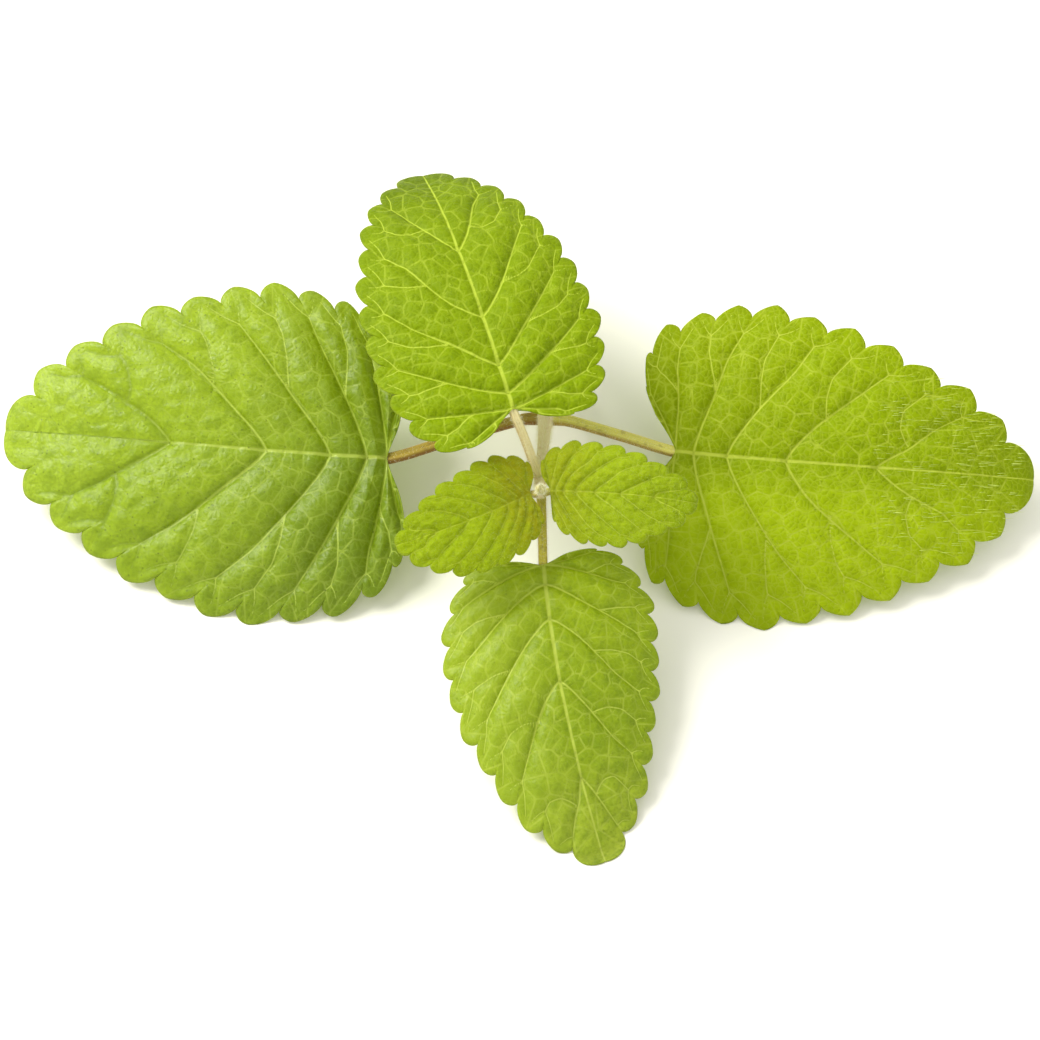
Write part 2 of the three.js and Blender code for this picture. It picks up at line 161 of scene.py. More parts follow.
LEAVES = {
    "leaf_large_left": dict(
        base=(-20.5, 9, 11.5), heading=180, pitch=5, droop=25, sweep=-15, roll=-20, twist=-5,
        fold=5, curl=20, length=62, left=half_blade((-3, 12), (19, 25)),
        right=half_blade((-2, 9), (18, 25)), full=0.32, tooth=2.1, teeth=12, blunt=1.6, quilt=0.75,
        seed=1, node=LARGE_NODE, clearance=2.0, petiole=1.7),
    "leaf_large_right": dict(
        base=(24, 10.5, 11), heading=-10, pitch=5, droop=25, sweep=15, roll=20, twist=5,
        fold=5, curl=20, length=57, left=half_blade((-6, 13), (12, 23)),
        right=half_blade((-4, 11), (14, 24.5)), full=0.25, tooth=2.0, teeth=12, blunt=1.25,
        quilt=0.6, seed=2, node=LARGE_NODE, clearance=2.0, petiole=1.7),
    "leaf_medium_back": dict(
        base=(-1, 7.5, 29), heading=107, pitch=10, droop=50, sweep=0, roll=0, twist=5,
        fold=5, curl=20, length=53, left=half_blade((-4, 8), (14, 17)),
        right=half_blade((-3, 8), (14, 16)), full=0.44, tooth=1.7, teeth=12, blunt=1.6, quilt=0.5,
        seed=3, node=MEDIUM_NODE, clearance=1.5, petiole=1.35),
    "leaf_medium_front": dict(
        base=(3.5, -11, 14.5), heading=-85, pitch=-10, droop=25, sweep=15, roll=0, twist=0,
        fold=0, curl=25, length=46, left=half_blade((-2, 7), (10, 15.5)),
        right=half_blade((-1, 7), (14, 16)), full=0.36, tooth=1.5, teeth=11, blunt=1.7, quilt=0.6,
        seed=4, node=MEDIUM_NODE, clearance=1.5, petiole=1.35),
    "leaf_small_left": dict(
        base=(1.5, -3, 22), heading=215, pitch=10, droop=20, sweep=-20, roll=-20, twist=0,
        fold=10, curl=20, length=22, left=half_blade((0, 3), (10, 7.5)),
        right=half_blade((-2, 3.5), (5, 7)), full=0.42, tooth=0.9, teeth=8, blunt=1.6, quilt=0.35,
        seed=5, node=APEX, clearance=1.15, petiole=0.9),
    "leaf_small_right": dict(
        base=(4.5, -2.5, 22), heading=-7, pitch=10, droop=20, sweep=0, roll=20, twist=0,
        fold=10, curl=20, length=22, left=half_blade((-1.5, 3.5), (5, 7)),
        right=half_blade((0.5, 3), (9, 7.5)), full=0.38, tooth=0.9, teeth=8, blunt=1.6, quilt=0.35,
        seed=6, node=APEX, clearance=1.15, petiole=0.9),
}
for name, leaf in LEAVES.items():
    leaf["lobe"] = END_LOBE * leaf["length"]
    leaf["end"] = leaf["length"] - leaf["lobe"]
    print(name, "is", leaf["length"], "mm long and",
          leaf["left"]["widest"][1] + leaf["right"]["widest"][1], "mm wide")

# %% [markdown]
# The margin of a lemon balm leaf is crenate: rounded teeth that lean toward the tip, with narrow
# notches between them and one larger lobe at the end. A smooth outline runs through the notches,
# and each tooth stands out from it. Counting the margin in teeth, not in millimetres, lets a vein
# find its own notch: phase 3 is the third notch, and 3.5 is about the crest of the tooth after it.

# %% The outline and its teeth
BASE_OPENING = 0.6
ROUND = 0.55
LOBE_ENTRY = (0.5, 0.4)
NOSE_REACH = 1.06
NOSE_WIDTH = 0.4
FIRST_NOTCH = 0.07
TOOTH_GROWTH = 1.1
CREST = 0.55
STEEPNESS = 0.62
NOTCH_CUT = 0.15
LAST_NOTCH = 0.93
FIRST_TOOTH = 0.7
UNEVENNESS, UNEVEN_BEAT, LEAF_BEAT = 0.15, 2.3, 1.7


def bezier(points, steps=300):
    u = np.linspace(0, 1, steps)[:, None]
    a, b, c, d = (np.array(p, float) for p in points)
    return (1 - u) ** 3 * a + 3 * u * (1 - u) ** 2 * b + 3 * u * u * (1 - u) * c + u**3 * d


def notch_line(leaf, side, share):
    """Round the lobe, up to the widest place and on to the tip."""
    (back, lobe_out), (widest_at, half), end = side["lobe"], side["widest"], leaf["end"]
    line = np.vstack([
        bezier([(0, BASE_OPENING), (LOBE_ENTRY[0] * back, LOBE_ENTRY[1] * lobe_out),
                (back, (1 - ROUND) * lobe_out), (back, lobe_out)]),
        bezier([(back, lobe_out), (back, lobe_out + ROUND * (half - lobe_out)),
                (widest_at - ROUND * (widest_at - back), half), (widest_at, half)])[1:],
        bezier([(widest_at, half), (widest_at + leaf["full"] * (end - widest_at), half),
                (NOSE_REACH * end, NOSE_WIDTH * half), (end, 0)])[1:],
    ])
    steps = np.linalg.norm(np.diff(line, axis=0), axis=1)
    length = np.concatenate([[0], np.cumsum(steps)])
    at = share * length[-1]
    return np.interp(at, length, line[:, 0]), np.interp(at, length, line[:, 1])


def margin_share(phase, teeth):
    grown = (np.clip(phase, 0, teeth) / teeth) ** TOOTH_GROWTH
    end = LAST_NOTCH + (1 - LAST_NOTCH) * (phase - teeth)
    return np.where(phase < 0, FIRST_NOTCH * (phase + 1), np.where(
        phase > teeth, end, FIRST_NOTCH + (LAST_NOTCH - FIRST_NOTCH) * grown))


def ogive(x, leaf):
    """A tooth's outline at x, its distance from the crest as a share of the way to the notch."""
    return (1 - np.clip(x, 0, 1) ** leaf["blunt"]) ** STEEPNESS


def tooth_height(phase, leaf):
    cut = NOTCH_CUT * leaf["tooth"] * np.clip(phase, 0, 1)
    tooth = np.floor(phase)
    within = phase - tooth
    x = np.where(within < CREST, 1 - within / CREST, (within - CREST) / (1 - CREST))
    growing = FIRST_TOOTH + (1 - FIRST_TOOTH) * np.clip(tooth / 2, 0, 1)
    uneven = 1 + UNEVENNESS * np.sin(UNEVEN_BEAT * tooth + LEAF_BEAT * leaf["seed"])
    height = (leaf["tooth"] * growing * uneven + cut) * ogive(x, leaf) - cut
    tip = (leaf["lobe"] + cut) * ogive(1 - (phase - leaf["teeth"]), leaf) - cut
    return np.where(phase < 0, 0, np.where(phase >= leaf["teeth"], tip, height))


print("teeth of the first leaf at their crests:",
      np.round(tooth_height(np.arange(4) + CREST, LEAVES["leaf_large_left"]), 2))

# %% [markdown]
# Any place on half a blade has a phase along the margin and a row out from the midrib, 0 on the
# midrib and 1 on the margin. Lines of one phase bend toward the tip as side veins do, and they
# leave the midrib closer together near the base. So one function places the mesh, the veins and
# the fields between them, in a flat measure of millimetres along the midrib and out from it.

# %% Flat places on a half blade
VEIN_CURVE = 1.25
VEIN_SPREAD = 2.6
VEIN_START = 0.1
LAST_ROOT = 0.93
FIRST_ROOT = 0.02
TIP_ROOT = 0.7
TOOTH_FOOT = 0.9
TOOTH_LEAN = 0.6


def vein_root(phase, leaf):
    phase = np.minimum(phase, leaf["teeth"] + TIP_ROOT)
    share = margin_share(phase, leaf["teeth"])
    climb = np.clip((share - VEIN_START) / (1 - VEIN_START), 0, 1) ** VEIN_SPREAD
    root = LAST_ROOT * leaf["end"] * climb
    return np.where(root < FIRST_ROOT * leaf["end"], 0, root)


def flat_place(leaf, sign, phase, row):
    side = leaf["left"] if sign > 0 else leaf["right"]
    x, y = notch_line(leaf, side, margin_share(phase, leaf["teeth"]))
    root = vein_root(phase, leaf)
    lean_x, lean_y = (x - root) * TOOTH_LEAN, y
    lean = np.maximum(np.hypot(lean_x, lean_y), 1e-9)
    out = tooth_height(phase, leaf) * np.clip((row - TOOTH_FOOT) / (1 - TOOTH_FOOT), 0, 1)
    s = root + (x - root) * row**VEIN_CURVE + lean_x / lean * out
    t = y * row + lean_y / lean * out
    return s, sign * t


print("the widest left notch lies at", [np.round(float(v), 1) for v in flat_place(
    LEAVES["leaf_large_left"], 1, np.array(5.0), np.array(1.0))], "mm")

# %% [markdown]
# A living blade isn't flat: it arches from the petiole, droops to its tip, and its halves rise
# from the midrib and curl down at the margin. One way is to sculpt this; another is a lattice.
# Here the flat leaf is bent by its own numbers, so its area hardly changes and it can't tear.

# %% The bent sheet
MIDRIB_STEPS = 400
MIDRIB_REACH = 1.15
LATE_DROOP = 1.5


def directions(leaf, share):
    pitch = np.radians(leaf["pitch"] - leaf["droop"] * share**LATE_DROOP)
    heading = np.radians(leaf["heading"] + leaf["sweep"] * share)
    along = np.stack([np.cos(pitch) * np.cos(heading), np.cos(pitch) * np.sin(heading),
                      np.sin(pitch)], -1)
    level = np.stack([-np.sin(heading), np.cos(heading), 0 * heading], -1)
    return along, level


def midrib_line(leaf):
    share = np.linspace(0, MIDRIB_REACH, MIDRIB_STEPS + 1)
    along, _ = directions(leaf, share)
    step = MIDRIB_REACH * leaf["length"] / MIDRIB_STEPS
    moves = (along[1:] + along[:-1]) / 2 * step
    line = np.vstack([np.zeros(3), np.cumsum(moves, axis=0)]) + np.array(leaf["base"])
    return share * leaf["length"], line


def sheet(leaf, s, t):
    ahead = np.maximum(s, 0)
    at, line = leaf["midrib"]
    point = np.stack([np.interp(ahead, at, line[:, i]) for i in range(3)], -1)
    along, level = directions(leaf, ahead / leaf["length"])
    point = point + along * np.minimum(s, 0)[..., None]
    rise = np.cross(along, level)
    roll = np.radians(leaf["roll"] + leaf["twist"] * np.clip(s / leaf["length"], 0, 1))[..., None]
    across = level * np.cos(roll) + rise * np.sin(roll)
    up = rise * np.cos(roll) - level * np.sin(roll)
    half = np.where(t >= 0, leaf["left"]["widest"][1], leaf["right"]["widest"][1])
    fold, curl = math.radians(leaf["fold"]), math.radians(leaf["curl"])
    bend = curl * np.abs(t) / half
    out = half * (math.sin(fold) - np.sin(fold - bend)) / curl
    lift = half * (np.cos(fold - bend) - math.cos(fold)) / curl
    return point + across * (np.sign(t) * out)[..., None] + up * lift[..., None]


def sheet_normal(leaf, s, t, d=0.2):
    ds = sheet(leaf, s + d, t) - sheet(leaf, s - d, t)
    dt = sheet(leaf, s, t + d) - sheet(leaf, s, t - d)
    normal = np.cross(ds, dt)
    return normal / np.linalg.norm(normal, axis=-1, keepdims=True)


for name, leaf in LEAVES.items():
    leaf["midrib"] = midrib_line(leaf)
    print(name, "tip at", np.round(sheet(leaf, np.array(leaf["length"]), np.array(0.0)), 1))

# %% [markdown]
# Veins make the leaf. The midrib feeds side veins, each side vein runs to a notch, sends a branch
# back to the notch below it and forks into the teeth. Between them lies a net of cross veins.
# An image could show this, but only drawn veins can also shape the blade. So the main veins are
# short lines in flat leaf measure. A young leaf has a side vein to every notch and no branches.

# %% Main veins
SIDE_VEIN_WIDTH = 0.18
BRANCH_WIDTH = 0.11
FORK_WIDTH = 0.08
VEIN_WANDER = 0.16
VEIN_END = (0.84, 0.9)
VEIN_STRENGTH = (0.85, 1.1)
BRANCH_LEAVES = (0.36, 0.52)
YOUNG_LENGTH = 30
FULL_LENGTH = 60


def is_young(leaf):
    return leaf["length"] < YOUNG_LENGTH


def grown(leaf, power):
    """Small leaves have finer detail, but not in full proportion."""
    return (leaf["length"] / FULL_LENGTH) ** power


def vein(leaf, sign, phases, rows, widths, steps=14):
    u = np.linspace(0, 1, steps)
    knots = np.linspace(0, 1, len(phases))
    phase, row = np.interp(u, knots, phases), np.interp(u, knots, rows)
    s, t = flat_place(leaf, sign, phase, row)
    return np.stack([s, t], -1), np.linspace(*widths, steps)


def fork(leaf, sign, v, start, size):
    """From the place before notch v, one twig into each of the two teeth beside it."""
    for crest in (v - 1 + CREST, v + CREST):
        if 0 < crest < leaf["teeth"]:
            yield vein(leaf, sign, v + (crest - v) * np.array([0, 0.5, 0.8]), [start, 0.92, 0.96],
                       np.array([FORK_WIDTH, FORK_WIDTH * 0.6]) * size, 6)


def main_veins(leaf, sign, rng):
    size = grown(leaf, 0.5)
    young = is_young(leaf)
    lines = []
    for v in range(1, leaf["teeth"] + 1, 1 if young else 2):
        wander = rng.uniform(-VEIN_WANDER, VEIN_WANDER, 2)
        end = rng.uniform(*VEIN_END)
        strong = rng.uniform(*VEIN_STRENGTH)
        lines.append(vein(leaf, sign, [v, v + wander[0], v + wander[1], v], [0, 0.33, 0.66, end],
                          np.array([SIDE_VEIN_WIDTH, BRANCH_WIDTH * 0.8]) * size * strong))
        lines.extend(fork(leaf, sign, v, end, size))
        if young:
            continue
        leave = rng.uniform(*BRANCH_LEAVES)
        lines.append(vein(leaf, sign, [v, v - 0.55, v - 0.9, v - 1],
                          [leave, leave + 0.16, leave + 0.3, end],
                          np.array([BRANCH_WIDTH, FORK_WIDTH]) * size))
        lines.extend(fork(leaf, sign, v - 1, end, size))
    return lines


print("half of the first leaf has",
      len(main_veins(LEAVES["leaf_large_left"], 1, np.random.default_rng(1))), "veins and twigs")

# %% [markdown]
# Every place on the blade asks how far the nearest vein is. Both the grooves in the mesh and the
# lines in the finish follow from the answer, so they can't drift apart.

# %% How far the nearest vein is
FAR_AWAY = 1e3


def nearest_vein(lines, s, t):
    """To the nearest vein: the distance in its own widths, the same with a side, and in mm.

    A mesh can't draw the fold that a distance has along a line, but where the side changes its
    sign the line is crossed smoothly, so the finish can draw it thin and unbroken."""
    places = np.stack([s, t], -1).reshape(-1, 2)
    best = np.full(len(places), FAR_AWAY)
    sided, far = best.copy(), best.copy()
    for points, widths in lines:
        for a, b, wide in zip(points[:-1], points[1:], widths):
            ab = b - a
            long = max(ab @ ab, 1e-12)
            from_a = places - a
            u = np.clip(from_a @ ab / long, 0, 1)
            away = from_a - u[:, None] * ab
            distance = np.hypot(away[:, 0], away[:, 1])
            nearer = distance / wide < best
            side = np.sign(ab[0] * away[:, 1] - ab[1] * away[:, 0])
            best = np.where(nearer, distance / wide, best)
            sided = np.where(nearer, distance / wide * side, sided)
            far = np.where(nearer, distance, far)
    return [v.reshape(s.shape) for v in (best, sided, far)]


one_vein = [(np.array([[0.0, 0.0], [10.0, 0.0]]), np.array([0.2, 0.2]))]
print("1 mm above a vein 0.2 mm wide, in widths, with a side and in mm:",
      [float(v) for v in nearest_vein(one_vein, np.array(5.0), np.array(1.0))])

# %% [markdown]
# The cross veins enclose small fields, a few to each strip between two side veins. Seeds are laid
# across each strip, and a field is all that lies nearest to its seed: the lines where two seeds
# are equally near become the cross veins. Each strip has its own seeds, and an even number of
# them in its outer half, so fields seldom straddle a side vein or the branch between two.

# %% Fields between the veins
FIELD_SIZE = 3.5
SEED_SHIFT, SEED_SLIDE = 0.2, 0.32
NEIGHBOURS = 6
AT_ONCE = 8000


def field_seeds(leaf, sign, rng):
    size = FIELD_SIZE * grown(leaf, 0.75)
    seeds = []
    for v in range(-1, leaf["teeth"] + 1, 2):
        low, high = float(v), float(min(v + 2, leaf["teeth"] + 1))
        mid = np.array((low + high) / 2)
        s, t = flat_place(leaf, sign, np.full(20, mid), np.linspace(0, 1, 20))
        along = np.hypot(np.diff(s), np.diff(t)).sum()
        rows = max(2, round(along / size))
        for k in range(rows):
            row = (k + 0.5) / rows
            (s0, t0), (s1, t1) = (flat_place(leaf, sign, np.array(p), np.array(row))
                                  for p in (low, high))
            across = max(1, round(float(math.hypot(s1 - s0, t1 - t0)) / size))
            if row > 0.5:
                across += across % 2
            for i in range(across):
                shift = rng.uniform(-SEED_SHIFT, SEED_SHIFT)
                slide = rng.uniform(-SEED_SLIDE, SEED_SLIDE)
                phase = low + (high - low) * (i + 0.5 + shift) / across
                place = flat_place(leaf, sign, np.array(phase),
                                   np.array(np.clip(row + slide / rows, 0.01, 1)))
                seeds.append([float(place[0]), float(place[1])])
    return np.array(seeds)


def nearest_fields(seeds, s, t):
    """The distance to the edge of the field, the same with a side, and the field's number."""
    places = np.stack([s, t], -1).reshape(-1, 2)
    edge, sided = np.empty((2, len(places)))
    number = np.empty(len(places), int)
    for start in range(0, len(places), AT_ONCE):
        part = slice(start, start + AT_ONCE)
        some = places[part]
        square = ((some[:, None] - seeds[None]) ** 2).sum(-1)
        order = np.argpartition(square, NEIGHBOURS - 1, axis=1)[:, :NEIGHBOURS]
        order = np.take_along_axis(order, np.argsort(
            np.take_along_axis(square, order, 1), axis=1), 1)
        near = seeds[order[:, 0]]
        first = np.take_along_axis(square, order[:, :1], 1)
        others = np.take_along_axis(square, order[:, 1:], 1)
        apart = np.linalg.norm(seeds[order[:, 1:]] - near[:, None], axis=-1)
        ways = (others - first) / (2 * apart)
        nearest = ways.argmin(axis=1)
        rows = np.arange(len(some))
        distance = ways[rows, nearest]
        other = order[rows, nearest + 1]
        edge[part] = distance
        sided[part] = np.where(order[:, 0] < other, distance, -distance)
        number[part] = order[:, 0]
    return [v.reshape(s.shape) for v in (edge, sided, number)]


print("half of the first leaf has",
      len(field_seeds(LEAVES["leaf_large_left"], 1, np.random.default_rng(1))), "fields")

# %% [markdown]
# The grid of a blade has one column for each step along the margin and rows out to both sides
# from the midrib. Columns crowd at the notches, where the margin turns sharply, and rows crowd at
# the teeth. Places that coincide, such as all the columns that start at the leaf's base, are
# welded by their flat places.

# %% The blade's grid
COLUMNS_PER_TOOTH = {"large": 15, "medium": 14, "small": 12}
ROWS_PER_HALF = {"large": 76, "medium": 60, "small": 44}
DENSE_TEETH = 2
PILLOW_SHARE = (0.55, 1.25)
MOST_FIELDS = 4000


def crowded(count):
    return (1 - np.cos(np.pi * np.arange(count) / count)) / 2


def grid_phases(leaf, per_tooth):
    """Columns for the base, each tooth and the end lobe, doubled where they fan out at the tip."""
    base = np.linspace(-1, 0, per_tooth, endpoint=False)
    teeth = [tooth + crowded(per_tooth * (2 if tooth >= leaf["teeth"] - DENSE_TEETH else 1))
             for tooth in range(leaf["teeth"])]
    tip = leaf["teeth"] + np.sin(np.pi / 2 * np.linspace(0, 1, 2 * per_tooth + 1) ** 1.5)
    return np.concatenate([base, *teeth, tip])


def grid_rows(count):
    inner = np.linspace(0, TOOTH_FOOT, count - count // 6, endpoint=False)
    return np.concatenate([inner, np.linspace(TOOTH_FOOT, 1, count // 6 + 1)])


def blade_grid(name, leaf):
    size = name.split("_")[1]
    phases, rows = grid_phases(leaf, COLUMNS_PER_TOOTH[size]), grid_rows(ROWS_PER_HALF[size])
    phase, row = np.meshgrid(phases, rows, indexing="ij")
    rng = np.random.default_rng(leaf["seed"])
    halves = []
    for sign in (1, -1):
        s, t = flat_place(leaf, sign, phase, row)
        veins, vein_side, vein_far = nearest_vein(main_veins(leaf, sign, rng), s, t)
        edge, edge_side, number = nearest_fields(field_seeds(leaf, sign, rng), s, t)
        pillow = rng.uniform(*PILLOW_SHARE, MOST_FIELDS)[number]
        rim = np.hypot(s - s[:, -1:], t - t[:, -1:])
        halves.append(np.stack([s, t, phase, row, veins, vein_side, vein_far, edge, edge_side,
                                pillow, rim]))
    left, right = halves
    return np.concatenate([left[:, :, ::-1], right[:, :, 1:]], axis=2)


grids = {name: blade_grid(name, leaf) for name, leaf in LEAVES.items()}
for name, grid in grids.items():
    print(name, "has", grid.shape[1], "columns and", grid.shape[2], "rows")

# %% [markdown]
# Lemon balm leaves look quilted: the blade swells between its veins and the veins lie in narrow
# grooves, while underneath they stand out as ribs. The relief is worked out in millimetres and
# moves each point along the blade's own direction up. A bump in the finish would not show in the
# leaf's profile, so only the finest grain is left to it. Toward the rim all of it grows calm.

# %% Relief
BLADE_THICKNESS = 0.34
RIM_THICKNESS = 0.16
QUILT_ROOM = 0.3
FIELD_SWELL, FIELD_EDGE = 0.42, 0.9
VEIN_SWELL, SWELL_EDGE = 0.62, 1.6
GROOVE_DEPTH, GROOVE_WIDTH = 0.4, 0.45
GROOVE_AT_RIM = 0.3
CALM_RIM = 1.6
LEAST_PUCKER = 0.5
YOUNG_PUCKER = 1.3
MIDRIB_DEPTH, MIDRIB_WIDTH = 0.35, 0.8
MIDRIB_SINKS_BY = 5.0


def size_of(leaf):
    return grown(leaf, 0.7)


def quilting(leaf, s, t, phase, row):
    arch = np.abs(np.sin(np.pi * (phase + 1) / 2))
    room = np.clip(np.abs(t) / (QUILT_ROOM * leaf["left"]["widest"][1]), 0, 1)
    return leaf["quilt"] * room * (arch**0.8 - 0.5) * np.sin(np.pi * np.clip(row, 0, 1)) ** 0.7


def ridge(distance, width):
    return np.exp(-(distance / width) ** 2)


def vein_weight(veins, far):
    """The nearest vein's width as a share of a side vein's: its distance in mm over widths."""
    return np.clip(far / np.maximum(veins, 1e-6) / SIDE_VEIN_WIDTH, 0, 1)


def top_relief(leaf, grid):
    s, t, phase, row, veins, _, far, edge, _, pillow, rim = grid
    size = size_of(leaf)
    calm = np.clip(rim / (CALM_RIM * size), 0, 1)
    puckered = YOUNG_PUCKER if is_young(leaf) else max(leaf["quilt"] ** 2, LEAST_PUCKER)
    fields = FIELD_SWELL * puckered * size * pillow * (1 - ridge(edge, FIELD_EDGE * size)) * calm
    swell = VEIN_SWELL * leaf["quilt"] * (1 - ridge(far, SWELL_EDGE * size)) * calm
    groove = (GROOVE_DEPTH * puckered ** 0.5 * size * vein_weight(veins, far)
              * ridge(far, GROOVE_WIDTH * size))
    groove = groove * (GROOVE_AT_RIM + (1 - GROOVE_AT_RIM) * calm)
    sunk = np.clip(s / MIDRIB_SINKS_BY, 0, 1) * np.clip(1 - s / leaf["length"], 0, 1) ** 0.5
    middle = MIDRIB_DEPTH * size * ridge(t, MIDRIB_WIDTH * size) * sunk
    return quilting(leaf, s, t, phase, row) + fields + swell - groove - middle


for name, leaf in LEAVES.items():
    relief = top_relief(leaf, grids[name])
    print(name, "relief from", round(relief.min(), 2), "to", round(relief.max(), 2), "mm")

# %% [markdown]
# The under face is the upper one set back by the blade's thickness, so it needs no relief of its
# own but the ribs: tall under the side veins, low under the cross veins, and a keel
# under the midrib that carries on from the petiole and thins out toward the tip.

# %% Ribs and keel
RIB_HEIGHT, RIB_WIDTH = 0.34, 0.3
NET_RIB_HEIGHT, NET_RIB_WIDTH = 0.09, 0.22
KEEL_SHARE, KEEL_TAPER, KEEL_WIDTH = 0.45, 0.8, 0.43
CALM_UNDER_RIM = 1.2


def under_relief(leaf, grid):
    s, t, _, _, veins, _, far, edge, _, _, rim = grid
    size = size_of(leaf)
    ribs = RIB_HEIGHT * size * vein_weight(veins, far) * ridge(far, RIB_WIDTH * size)
    ribs = ribs + NET_RIB_HEIGHT * size * ridge(edge, NET_RIB_WIDTH)
    keel = leaf["petiole"] * KEEL_SHARE * (1 - KEEL_TAPER * np.clip(s / leaf["end"], 0, 1))
    ribs = ribs + keel * ridge(t, KEEL_WIDTH * leaf["petiole"])
    calm = np.clip(rim / CALM_UNDER_RIM, 0, 1)
    return RIM_THICKNESS + (BLADE_THICKNESS - RIM_THICKNESS) * calm + ribs * calm


for name, leaf in LEAVES.items():
    print(name, "is up to", round(under_relief(leaf, grids[name]).max(), 2), "mm thick at its keel")

# %% [markdown]
# A blade is closed: an upper face, an under face with the same triangles turned over, and a rim
# between their open edges. A thickness modifier could close a card, but here the two faces have
# shapes of their own, so both are built.

# %% Closed bodies from grids


def weld(grid):
    keys = np.round(grid[:2].reshape(2, -1).T * 1e4).astype(np.int64)
    _, first, index = np.unique(keys, axis=0, return_index=True, return_inverse=True)
    return first, index.reshape(grid.shape[1:])


def grid_triangles(index):
    a, b, c, d = index[:-1, :-1], index[:-1, 1:], index[1:, 1:], index[1:, :-1]
    triangles = np.concatenate([np.stack([a, b, c], -1).reshape(-1, 3),
                                np.stack([a, c, d], -1).reshape(-1, 3)])
    x, y, z = triangles.T
    return triangles[(x != y) & (y != z) & (z != x)]


def rim_triangles(triangles, count):
    a = triangles.ravel()
    b = np.roll(triangles, -1, axis=1).ravel()
    open_edge = ~np.isin(a * count + b, b * count + a)
    a, b = a[open_edge], b[open_edge]
    return np.concatenate([np.stack([b, a, a + count], -1),
                           np.stack([b, a + count, b + count], -1)])


def closed(triangles, count):
    """An upper skin, the same skin turned over count points later, and the rim between them."""
    return np.concatenate([triangles, triangles[:, ::-1] + count,
                           rim_triangles(triangles, count)])


one_cell = grid_triangles(np.arange(4).reshape(2, 2))
print("a grid of one cell closes with", len(closed(one_cell, 4)), "triangles")

# %% [markdown]
# A mesh is filled fastest from whole arrays, and every piece rides on the sprig's one body. What
# the finish needs to know about a point, such as how far the next vein is, goes with the mesh as
# a mark of three numbers, which the finish can read back.

# %% New pieces and their marks


def new_piece(name, points, triangles, finish, smooth=True):
    mesh = bpy.data.meshes.new(name)
    mesh.vertices.add(len(points))
    mesh.vertices.foreach_set("co", to_world(points).astype(np.float32).ravel())
    mesh.loops.add(triangles.size)
    mesh.loops.foreach_set("vertex_index", triangles.astype(np.int32).ravel())
    mesh.polygons.add(len(triangles))
    mesh.polygons.foreach_set("loop_start", np.arange(0, triangles.size, 3, dtype=np.int32))
    mesh.polygons.foreach_set("use_smooth", np.full(len(triangles), smooth))
    mesh.update(calc_edges=True)
    mesh.validate()
    mesh.materials.append(finish)
    piece = bpy.data.objects.new(name, mesh)
    bpy.context.scene.collection.objects.link(piece)
    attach(piece, "root")
    return piece


def mark(piece, name, values):
    layer = piece.data.attributes.new(name, "FLOAT_VECTOR", "POINT")
    layer.data.foreach_set("vector", values.astype(np.float32).ravel())


print("one millimetre on the plant is", to_world(MIDDLE + [1, 0, 0])[0], "in the scene")

# %% [markdown]
# Where a drooping blade meets the surface it lies on, it flattens: it can't sink in. The blade is
# also thinner than the solid it stands for, so a low place goes down by the difference.

# %% Blade mesh
SOLID_THICKNESS = 0.6
SETTLE_HEIGHT = 4.0
FAR_MARK = 20


def settle(upper):
    z = np.maximum(upper[:, 2], SOLID_THICKNESS)
    low = np.clip(1 - (z - SOLID_THICKNESS) / SETTLE_HEIGHT, 0, 1)
    upper[:, 2] = z - (SOLID_THICKNESS - RIM_THICKNESS) * low
    return upper


def build_blade(name, leaf, finish):
    grid = grids[name]
    first, index = weld(grid)
    flat = grid.reshape(len(grid), -1)[:, first]
    s, t = flat[0], flat[1]
    normal = sheet_normal(leaf, s, t)
    upper = settle(sheet(leaf, s, t) + normal * top_relief(leaf, flat)[:, None])
    lower = upper - normal * under_relief(leaf, flat)[:, None]
    lower[:, 2] = np.maximum(lower[:, 2], 0)
    triangles = grid_triangles(index)
    count = len(first)
    whole = closed(triangles, count)
    piece = new_piece(name + "_blade", np.concatenate([upper, lower]), whole, finish)
    face = np.concatenate([np.zeros(count), np.ones(count)])
    mark(piece, "leaf_place", np.stack([np.tile(s, 2), np.tile(t, 2), face], -1))
    veins, vein_side, _, edge, edge_side, _, rim = flat[4:]
    lines = [np.minimum(veins, FAR_MARK), np.clip(vein_side, -FAR_MARK, FAR_MARK), rim]
    net = [edge, edge_side, s / leaf["length"]]
    mark(piece, "leaf_veins", np.tile(np.stack(lines, -1), (2, 1)))
    mark(piece, "leaf_net", np.tile(np.stack(net, -1), (2, 1)))
    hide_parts(name)
    print(piece.name, len(whole), "triangles")
    return dict(points=upper, triangles=triangles, flat=flat)


print("a blade settles where it comes within", SOLID_THICKNESS + SETTLE_HEIGHT, "mm of the surface")

# %% [markdown]
# Every finish here is a tree of nodes. A tree can be wired by hand in the editor, but in code each
# node takes several lines to add, set and link. A small class makes each of them one short call.

# %% Helpers for node trees
GRAIN_DEPTH = 0.1 * MM


